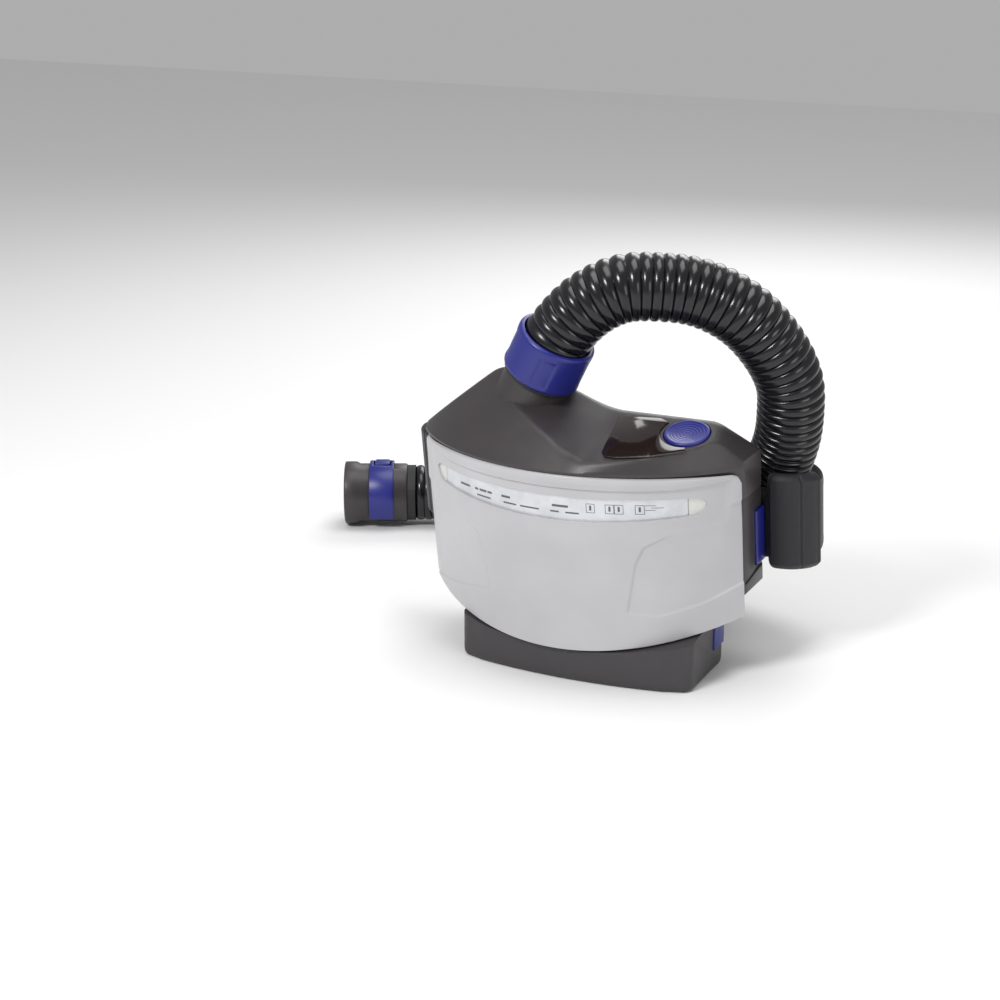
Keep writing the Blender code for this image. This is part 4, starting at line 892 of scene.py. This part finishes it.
def rear_housing():
    piece = copy_of("rear_housing", 0, 1)
    cut(piece, side_panel_cut(1))
    cut(piece, side_panel_cut(-1))
    eased(piece, 0.5 * MM, 2, 50)
    smoothed(piece, 35)
    return finished(piece, CASING_PLASTIC, "unit", "casing", "rear_housing")


def power_button():
    """A dished button with fine rings turned into it."""
    profile = [(BUTTON_RADIUS - 0.8 * MM, -3.7 * MM), (BUTTON_RADIUS, -2.9 * MM)]
    profile += [(BUTTON_RADIUS, -0.5 * MM), (BUTTON_RADIUS - 0.25 * MM, 0.1 * MM)]
    profile += [(BUTTON_RADIUS - 0.8 * MM, 0.45 * MM), (BUTTON_RADIUS - 1.6 * MM, 0.4 * MM)]
    for k in range(40):
        radius = (12.6 - 12.2 * k / 39) * MM
        dish = 0.3 * MM - 1.3 * MM * (1 - (radius / (12.6 * MM)) ** 2)
        ring = 0.07 * MM * math.cos(math.radians(360) * radius / (2.1 * MM))
        profile.append((radius, dish + ring))
    piece = turned("power_button_cap", profile, deck_frame())
    return finished(smoothed(piece, 50), BLUE_PLASTIC, "power_button", "blue_plastic", "power_button")


def display_lens():
    """The dark display window, flush with the deck, with the button's curve cut out of it."""
    piece = deck_block("display_window", deck_outline(0), (-1.2 * MM, 0.1 * MM))
    eased(piece, 0.3 * MM, 2, 50)
    smoothed(piece, 30)
    return finished(piece, LENS_PLASTIC, "unit", "lens", "display_lens")


# ---------------------------------------------------------------- breathing tube


def hose_collar():
    """The blue outlet collar, with shallow finger flats round it."""
    top = COLLAR_LENGTH
    rim = HOSE_RADIUS + 0.6 * MM
    section = [(21.2, 0), (25.2, 0), (25.8, 0.5), (26, 1.4)]
    section += [(26, 1.4 + (top / MM - 4) * k / 22) for k in range(1, 23)]
    section += [(25.9, top / MM - 1.6), (25.5, top / MM - 0.7), (24.9, top / MM - 0.25), (24.2, top / MM)]
    section += [(rim / MM + 0.5, top / MM), (rim / MM, top / MM - 0.5), (rim / MM, 11.1), (21.2, 11.1)]
    section.append(section[0])
    steps = 288

    def place(u, v):
        radius, height = section[round(u * (len(section) - 1))]
        turn = 2 * math.pi * v
        wave = math.cos(4 * (turn - 0.35))
        hollow = 0.55 * ramp(wave, 0.55, 0.75)
        inside = ramp(height, 2.2, 4.2) * (1 - ramp(height, top / MM - 7.5, top / MM - 5.5))
        if radius > 25.5:
            radius -= hollow * inside
        return Vector((radius * math.cos(turn) * MM, radius * math.sin(turn) * MM, height * MM))

    piece = laid_grid("outlet_collar_ring", len(section) - 1, steps, place)
    piece.data.transform(outlet_frame())
    smoothed(piece, 45)
    return finished(piece, BLUE_PLASTIC, "collar", "blue_plastic", "hose_collar")


def outlet_seal():
    profile = [(20.8, -2.4), (21.6, -2.9), (23.6, -2.9), (24.4, -2.4), (24.5, -1.6), (24.4, -0.8)]
    profile += [(23.6, -0.3), (21.6, -0.3), (20.8, -0.8), (20.8, -2.4)]
    piece = turned("outlet_seal_ring", [(r * MM, z * MM) for r, z in profile], outlet_frame())
    return finished(smoothed(piece, 60), SEAL_RUBBER, "unit", "soft_black", "outlet_seal")


def connector_frame():
    return frame_at(CONNECTOR_END - CONNECTOR_LENGTH * CONNECTOR_AXIS, CONNECTOR_AXIS)


def smooth_through(knots, steps):
    """A curve through all knots but the first and last, which only steer it."""
    points = []
    for p0, p1, p2, p3 in zip(knots, knots[1:], knots[2:], knots[3:]):
        d1, d2, d3 = (math.sqrt((b - a).length) for a, b in ((p0, p1), (p1, p2), (p2, p3)))
        m1 = (p1 - p0) / d1 - (p2 - p0) / (d1 + d2) + (p2 - p1) / d2
        m2 = (p2 - p1) / d2 - (p3 - p1) / (d2 + d3) + (p3 - p2) / d3
        m1, m2 = m1 * d2, m2 * d2
        for k in range(steps):
            t = k / steps
            points.append(
                (2 * t**3 - 3 * t**2 + 1) * p1
                + (t**3 - 2 * t**2 + t) * m1
                + (3 * t**2 - 2 * t**3) * p2
                + (t**3 - t**2) * m2
            )
    return points + [knots[-2]]


def at_lengths(points, wanted):
    """Points at the given distances along a line of points."""
    lengths = [0.0]
    for before, after in zip(points, points[1:]):
        lengths.append(lengths[-1] + (after - before).length)
    result, place = [], 0
    for distance in wanted:
        while place < len(lengths) - 2 and lengths[place + 1] < distance:
            place += 1
        share = (distance - lengths[place]) / (lengths[place + 1] - lengths[place])
        result.append(points[place].lerp(points[place + 1], share))
    return result, lengths[-1]


def hose_line():
    start = outlet_frame() @ Vector((0, 0, HOSE_START))
    end = connector_frame() @ Vector((0, 0, -6.7 * MM))
    lead = 11 * MM
    knots = [start - lead * OUTLET_AXIS, start, start + lead * OUTLET_AXIS]
    knots += [Vector(point) for point in HOSE_ROUTE]
    knots += [end - lead * CONNECTOR_AXIS, end, end + lead * CONNECTOR_AXIS]
    return smooth_through(knots, 40), start


def breathing_hose():
    """The corrugated hose: round ribs, closer together where the tube hangs down."""
    line, start = hose_line()
    total = at_lengths(line, [0])[1]
    distances, turns = [0.0], [0.0]
    step = 0.4 * MM
    while distances[-1] < total - step:
        s = distances[-1] + step
        closed = ramp(s, *HANG_START) - ramp(s, *HANG_END)
        distances.append(s)
        turns.append(turns[-1] + step / (RIB_PITCH - RIB_CLOSING * closed))
    ribs = round(turns[-1])
    scale = turns[-1] / ribs
    wanted, radii, place = [], [], 0
    for rib in range(ribs):
        for k in range(RIB_STEPS):
            t = -math.cos(math.pi * k / RIB_STEPS)
            phase = (rib + (t + 1) / 2) * scale
            while place < len(turns) - 2 and turns[place + 1] < phase:
                place += 1
            share = (phase - turns[place]) / (turns[place + 1] - turns[place])
            wanted.append(distances[place] + share * step)
            valley = 1 - math.sqrt(max(1 - (0.98 * t) ** 2, 0.0))
            radii.append(HOSE_RADIUS - RIB_DEPTH * valley)
    wanted.append(total)
    radii.append(HOSE_RADIUS - 2 * MM)
    middle, _ = at_lengths(line, wanted)
    side = Vector((0, 1, 0))
    rings = []
    for index, centre in enumerate(middle):
        before, after = middle[max(index - 4, 0)], middle[min(index + 4, len(middle) - 1)]
        along = (after - before).normalized()
        side = (side - along * side.dot(along)).normalized()
        rings.append((centre, side.copy(), along.cross(side), radii[index]))

    def place_point(u, v):
        centre, first, second, radius = rings[round(v * (len(rings) - 1))]
        turn = 2 * math.pi * u
        return centre + radius * (math.cos(turn) * first + math.sin(turn) * second)

    piece = laid_grid("corrugated_hose", HOSE_SIDES, len(rings) - 1, place_point)
    smoothed(piece, 60)
    finished(piece, HOSE_PLASTIC, "unit", "hose", "breathing_hose")
    path, _ = at_lengths(line, [total * k / 200 for k in range(201)])
    with_pieces = [frame["nodes"][n] for n in ("headtop_cuff", "connector_seal")]
    with_pieces += [bpy.data.objects["headtop_connector_body"], bpy.data.objects["release_band_ring"]]
    with_pieces.append(bpy.data.objects["release_button_pad"])
    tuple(start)


def headtop_connector():
    body = copy_of("headtop_connector", 0.6 * MM, 3, 40)
    body.name = "headtop_connector_body"
    finished(body, CASING_PLASTIC, "unit", "casing", "headtop_connector")
    band = copy_of("release_band", 0.4 * MM, 2, 45)
    band.name = "release_band_ring"
    finished(band, BLUE_PLASTIC, "unit", "blue_plastic", "release_band")
    button = copy_of("release_button", 0.5 * MM, 3, 40)
    button.name = "release_button_pad"
    finished(button, BLUE_PLASTIC, "release_button", "blue_plastic", "release_button")


# ---------------------------------------------------------------- battery and latches


def battery_outline(inset, z):
    """The battery seen from above: a bowed front, small front corners and large rear corners."""
    half = BATTERY_HALF - inset
    front, back = BATTERY_Y[0] + inset, BATTERY_Y[1] - inset
    small, large = 8 * MM - inset, 16 * MM - inset
    side_front = front + BATTERY_BOW + small
    points = []

    def corner(x, y, radius, first, last, steps):
        for k in range(steps + 1):
            turn = math.radians(first + (last - first) * k / steps)
            points.append(Vector((x + radius * math.cos(turn), y + radius * math.sin(turn), z)))

    corner(BATTERY_X + half - large, back - large, large, 0, 90, 16)
    corner(BATTERY_X - half + large, back - large, large, 90, 180, 16)
    corner(BATTERY_X - half + small, side_front, small, 180, 262, 12)
    for k in range(33):
        share = -0.8 + 1.6 * k / 32
        points.append(Vector((BATTERY_X + share * half, front + BATTERY_BOW * share * share, z)))
    corner(BATTERY_X + half - small, side_front, small, 278, 360, 12)
    return points


def battery_case():
    top = 42.3 * MM
    levels = [(2.9, 0), (1.7, 0.25), (0.85, 0.9), (0.3, 2.0), (0.05, 3.6), (0, 5)]
    levels = [(inset * MM, z * MM) for inset, z in levels] + [(0, top)]
    rings = [battery_outline(inset, z) for inset, z in levels]
    count = len(rings[0])

    def place(u, v):
        return rings[round(v * (len(rings) - 1))][round(u * count) % count]

    piece = laid_grid("battery_shell", count, len(rings) - 1, place)
    back = COVER_WALL + 0.6 * MM
    ledge = slab(
        "battery_ledge", COVER_HALF_ANGLE, lambda x: cover_bottom_z(x) - 1.6 * MM,
        lambda x: 70 * MM, (-40 * MM, back),
    )
    cut(piece, ledge)
    side = BATTERY_X + BATTERY_HALF
    across, deep = (side - 6.9 * MM, side + 5 * MM), (19.4 * MM, 38.6 * MM)
    cut(piece, block("battery_latch_recess", across, deep, (14.4 * MM, 35.6 * MM)))
    eased(piece, 0.5 * MM, 2, 50)
    smoothed(piece, 35)
    return finished(piece, BATTERY_PLASTIC, "battery", "battery_shell", "battery_case")


def latches():
    for node, body in (("cover_latch", "cover_latch"), ("battery_latch", "battery_latch")):
        piece = copy_of(node, 0.9 * MM, 3, 40)
        finished(piece, BLUE_PLASTIC, body, "blue_plastic", node)


# ---------------------------------------------------------------- belt


def belt_path(offset):
    """The belt's line seen from above, moved outwards, from the rear right to the rear left."""
    side = BELT_HALF + offset
    front, back = BELT_FRONT_Y - offset, BELT_BACK_Y + offset
    near, far = BELT_FRONT_RADIUS + offset, BELT_BACK_RADIUS + offset
    points = [(BUCKLE_HALF + (side - far - BUCKLE_HALF) * k / 6, back) for k in range(6)]

    def corner(x, y, radius, first, last, steps):
        for k in range(steps + 1):
            turn = math.radians(first + (last - first) * k / steps)
            points.append((x + radius * math.cos(turn), y + radius * math.sin(turn)))

    corner(side - far, back - far, far, 90, 0, 30)
    corner(side - near, front + near, near, 0, -90, 16)
    run = side - near
    points += [(run - 2 * run * k / 24, front) for k in range(1, 24)]
    corner(-side + near, front + near, near, -90, -180, 16)
    corner(-side + far, back - far, far, 180, 90, 30)
    points += [(-BUCKLE_HALF - (side - far - BUCKLE_HALF) * k / 6, back) for k in range(5, -1, -1)]
    return points


def belt_webbing():
    """Flat woven strap with thinner edges and a raised stripe along each."""
    low, high = WEBBING_Z
    tall = high - low
    section = []
    for side in (1, -1):
        for k in range(31):
            share = k / 30 if side > 0 else 1 - k / 30
            edge = min(share, 1 - share) * tall
            thick = WEBBING_THICK / 2 * math.sqrt(min(1.0, (edge + 0.25 * MM) / (1.0 * MM)))
            ridge = 0.12 * MM if 3 * MM < edge < 5 * MM else 0.0
            section.append((side * (thick - 0.14 * MM + ridge), low + tall * share))
    section.append(section[0])
    outer = {}

    def place(u, v):
        offset, z = section[round(u * (len(section) - 1))]
        if offset not in outer:
            outer[offset] = belt_path(offset)
        line = outer[offset]
        x, y = line[round(v * (len(line) - 1))]
        return Vector((x, leaned(y, z), z))

    count = len(belt_path(0))
    piece = laid_grid("belt_strap", len(section) - 1, count - 1, place)
    smoothed(piece, 50)
    return finished(piece, WEBBING_CLOTH, "unit", "webbing", "belt_webbing")


def pad_line(side, offset, share):
    """A point along a hip pad's outline, from its front end round the corner."""
    radius = BELT_FRONT_RADIUS + offset
    middle = (BELT_HALF - BELT_FRONT_RADIUS, BELT_FRONT_Y + BELT_FRONT_RADIUS)
    straight = middle[0] - PAD_START_X
    last = math.acos(min((middle[1] - PAD_END_Y) / radius, 1.0))
    arc = PAD_MIDDLE * last
    place = share * (straight + arc)
    if place < straight:
        return side * (PAD_START_X + place), middle[1] - radius
    turn = (place - straight) / PAD_MIDDLE
    return side * (middle[0] + radius * math.sin(turn)), middle[1] - radius * math.cos(turn)


def hip_pad(side, node):
    """A foam pad in cloth: crowned face, pulled-in edges, a sewn seam and a ribbed strip."""
    inner = WEBBING_THICK / 2 + 0.3 * MM
    low, high = PAD_Z

    def face_depth(share, z_share):
        """How far the face stands off the belt: crowned, with two sewn grooves and ribs between."""
        edge = min(z_share, 1 - z_share) * (high - low)
        end = min(share, 1 - share) * PAD_RUN
        roundness = math.sqrt(min(1.0, (edge + PAD_RIM) / PAD_ROUND))
        roundness *= math.sqrt(min(1.0, (end + PAD_RIM) / PAD_END_ROUND))
        groove = 0.9 * MM * math.exp(-(((share - PAD_SEAM) / 0.018) ** 2))
        groove += 0.5 * MM * math.exp(-(((share - PAD_LAST_SEAM) / 0.02) ** 2))
        rib = 0.0
        if PAD_SEAM + 0.03 < share < PAD_LAST_SEAM - 0.02:
            rib = PAD_RIB_DEPTH * (0.5 + 0.5 * math.cos(2 * math.pi * z_share * PAD_RIBS))
        return max(0.25 * MM, PAD_THICK * roundness * PAD_PLUMP - groove - rib)

    def place(u, v):
        wrap = u * 2
        z_share = wrap if wrap <= 1 else 2 - wrap
        depth = face_depth(v, z_share) if wrap <= 1 else 0.0
        end = min(v, 1 - v) * PAD_RUN
        past = max(PAD_CORNER - end, 0)
        pull = PAD_CORNER - math.sqrt(max(PAD_CORNER**2 - past**2, 0))
        z = low + pull + (high - low - 2 * pull) * z_share
        x, y = pad_line(side, inner + depth, v)
        return Vector((x, leaned(y, z), z))

    piece = laid_grid(node + "_cushion", 2 * PAD_STEPS, PAD_STEPS, place)
    smoothed(piece, 60)
    finished(piece, PAD_CLOTH, "unit", "belt_pad", node)
    stitches(side, inner, node)
    return piece


def stitches(side, inner, node):
    """Two rows of short thread stitches along the pad's seam."""
    low, high = PAD_Z[0] + PAD_CORNER, PAD_Z[1] - PAD_CORNER
    threads = None
    for row in (PAD_SEAM - 0.035, PAD_SEAM + 0.03):
        for k in range(STITCHES):
            z = low + (high - low) * (k + 0.5) / STITCHES
            x, y = pad_line(side, inner + PAD_THICK * 0.93, row)
            deselect()
            bpy.ops.mesh.primitive_uv_sphere_add(
                segments=6,
                ring_count=4,
                radius=0.32 * MM,
                location=(x, leaned(y, z), z),
                scale=(1, 1, 2.6),
            )
            bpy.ops.object.transform_apply(location=True, rotation=False, scale=True)
            thread = bpy.context.object
            if threads:
                threads.select_set(True)
                bpy.context.view_layer.objects.active = threads
                bpy.ops.object.join()
            else:
                threads = thread
    threads.name = node + "_stitching"
    smoothed(threads, 80)
    finished(threads, THREAD, "unit", "belt_pad")


def back_pad():
    piece = copy_of("back_pad", 1.8 * MM, 4, 40)
    finished(piece, PAD_CLOTH, "unit", "belt_pad", "back_pad")


def belt_fittings():
    for node in ("buckle_plug", "buckle_socket"):
        piece = copy_of(node, 0.8 * MM, 3, 40)
        finished(piece, BUCKLE_PLASTIC, "unit", "buckle", node)
    for node, body in (("webbing_slider_left", "slider_left"), ("webbing_slider_right", "slider_right")):
        piece = copy_of(node, 0.7 * MM, 3, 40)
        finished(piece, BUCKLE_PLASTIC, body, "buckle", node)
    piece = copy_of("belt_bracket", 0.8 * MM, 3, 40)
    finished(piece, CASING_PLASTIC, "unit", "casing", "belt_bracket")


# ---------------------------------------------------------------- inner pieces


def inner_pieces():
    """The CAD pieces inside the unit keep their shapes and get their own finishes."""
    looks = {
        "inner_black": INNER_PLASTIC,
        "white_plastic": WHITE_PLASTIC,
        "filter_paper": FILTER_PAPER,
        "steel": BARE_STEEL,
        "cell_sleeve": CELL_SLEEVE,
        "circuit_board": BOARD,
        "battery_shell": BATTERY_PLASTIC,
        "soft_black": SEAL_RUBBER,
    }
    for part in frame["record"]["subparts"]:
        node = frame["nodes"][part["node"]]
        material = looks.get(part["material_slot"])
        if node.hide_render or material is None:
            continue
        node.data.materials.clear()
        node.data.materials.append(material)


MOULDED = moulded_plastic_group()
CASING_PLASTIC = plastic("casing_plastic", (0.038, 0.033, 0.035), 0.40, 0.5, 1400.0, 0.3)
BATTERY_PLASTIC = plastic("battery_plastic", (0.040, 0.036, 0.039), 0.46, 0.5, 1400.0, 0.3)
COVER_PLASTIC = plastic("cover_plastic", (0.47, 0.465, 0.48), 0.36, 0.25, 1600.0, 0.15)
BLUE_PLASTIC = plastic("blue_plastic", (0.014, 0.018, 0.19), 0.33, 0.3, 1200.0, 0.35)
LENS_PLASTIC = plastic("lens_plastic", (0.016, 0.010, 0.009), 0.07, 0.0, 900.0, 0.0)
HOSE_PLASTIC = plastic("hose_plastic", (0.005, 0.005, 0.007), 0.22, 0.15, 700.0, 0.1)
SEAL_RUBBER = plastic("seal_rubber", (0.010, 0.010, 0.012), 0.6, 0.6, 900.0, 0.1)
BUCKLE_PLASTIC = plastic("buckle_plastic", (0.008, 0.008, 0.010), 0.35, 0.5, 900.0, 0.3)
INNER_PLASTIC = plastic("inner_plastic", (0.02, 0.02, 0.022), 0.5, 0.4, 900.0, 0.1)
WHITE_PLASTIC = plastic("white_plastic", (0.62, 0.62, 0.60), 0.4, 0.3, 900.0, 0.1)
FILTER_PAPER = plastic("filter_paper", (0.72, 0.70, 0.64), 0.9, 1.0, 500.0, 0.0)
CELL_SLEEVE = plastic("cell_sleeve", (0.03, 0.16, 0.09), 0.3, 0.1, 400.0, 0.2)
BOARD = plastic("circuit_board", (0.015, 0.10, 0.04), 0.35, 0.2, 700.0, 0.1)
LABEL_INK = plastic("label_ink", (0.10, 0.10, 0.11), 0.5, 0.1, 900.0, 0.0)
LABEL_FOIL = label_foil()
BARE_STEEL = metal("bare_steel", (0.55, 0.55, 0.57), 0.3)
WEBBING_CLOTH = cloth("webbing_cloth", (0.009, 0.009, 0.012), 420.0, 300.0, 0.0002)
PAD_CLOTH = cloth("pad_cloth", (0.008, 0.008, 0.012), 520.0, 520.0, 0.00008, roughness=0.5, sheen=0.05)
THREAD = cloth("thread", (0.05, 0.05, 0.06), 900.0, 900.0, 0.0001)

add_camera()
add_studio()
headtop_connector()
breathing_hose()
hose_collar()
outlet_seal()
filter_cover()
filter_label()
top_housing()
rear_housing()
power_button()
display_lens()
battery_case()
latches()
belt_webbing()
hip_pad(1, "hip_pad_right")
hip_pad(-1, "hip_pad_left")
back_pad()
belt_fittings()
inner_pieces()
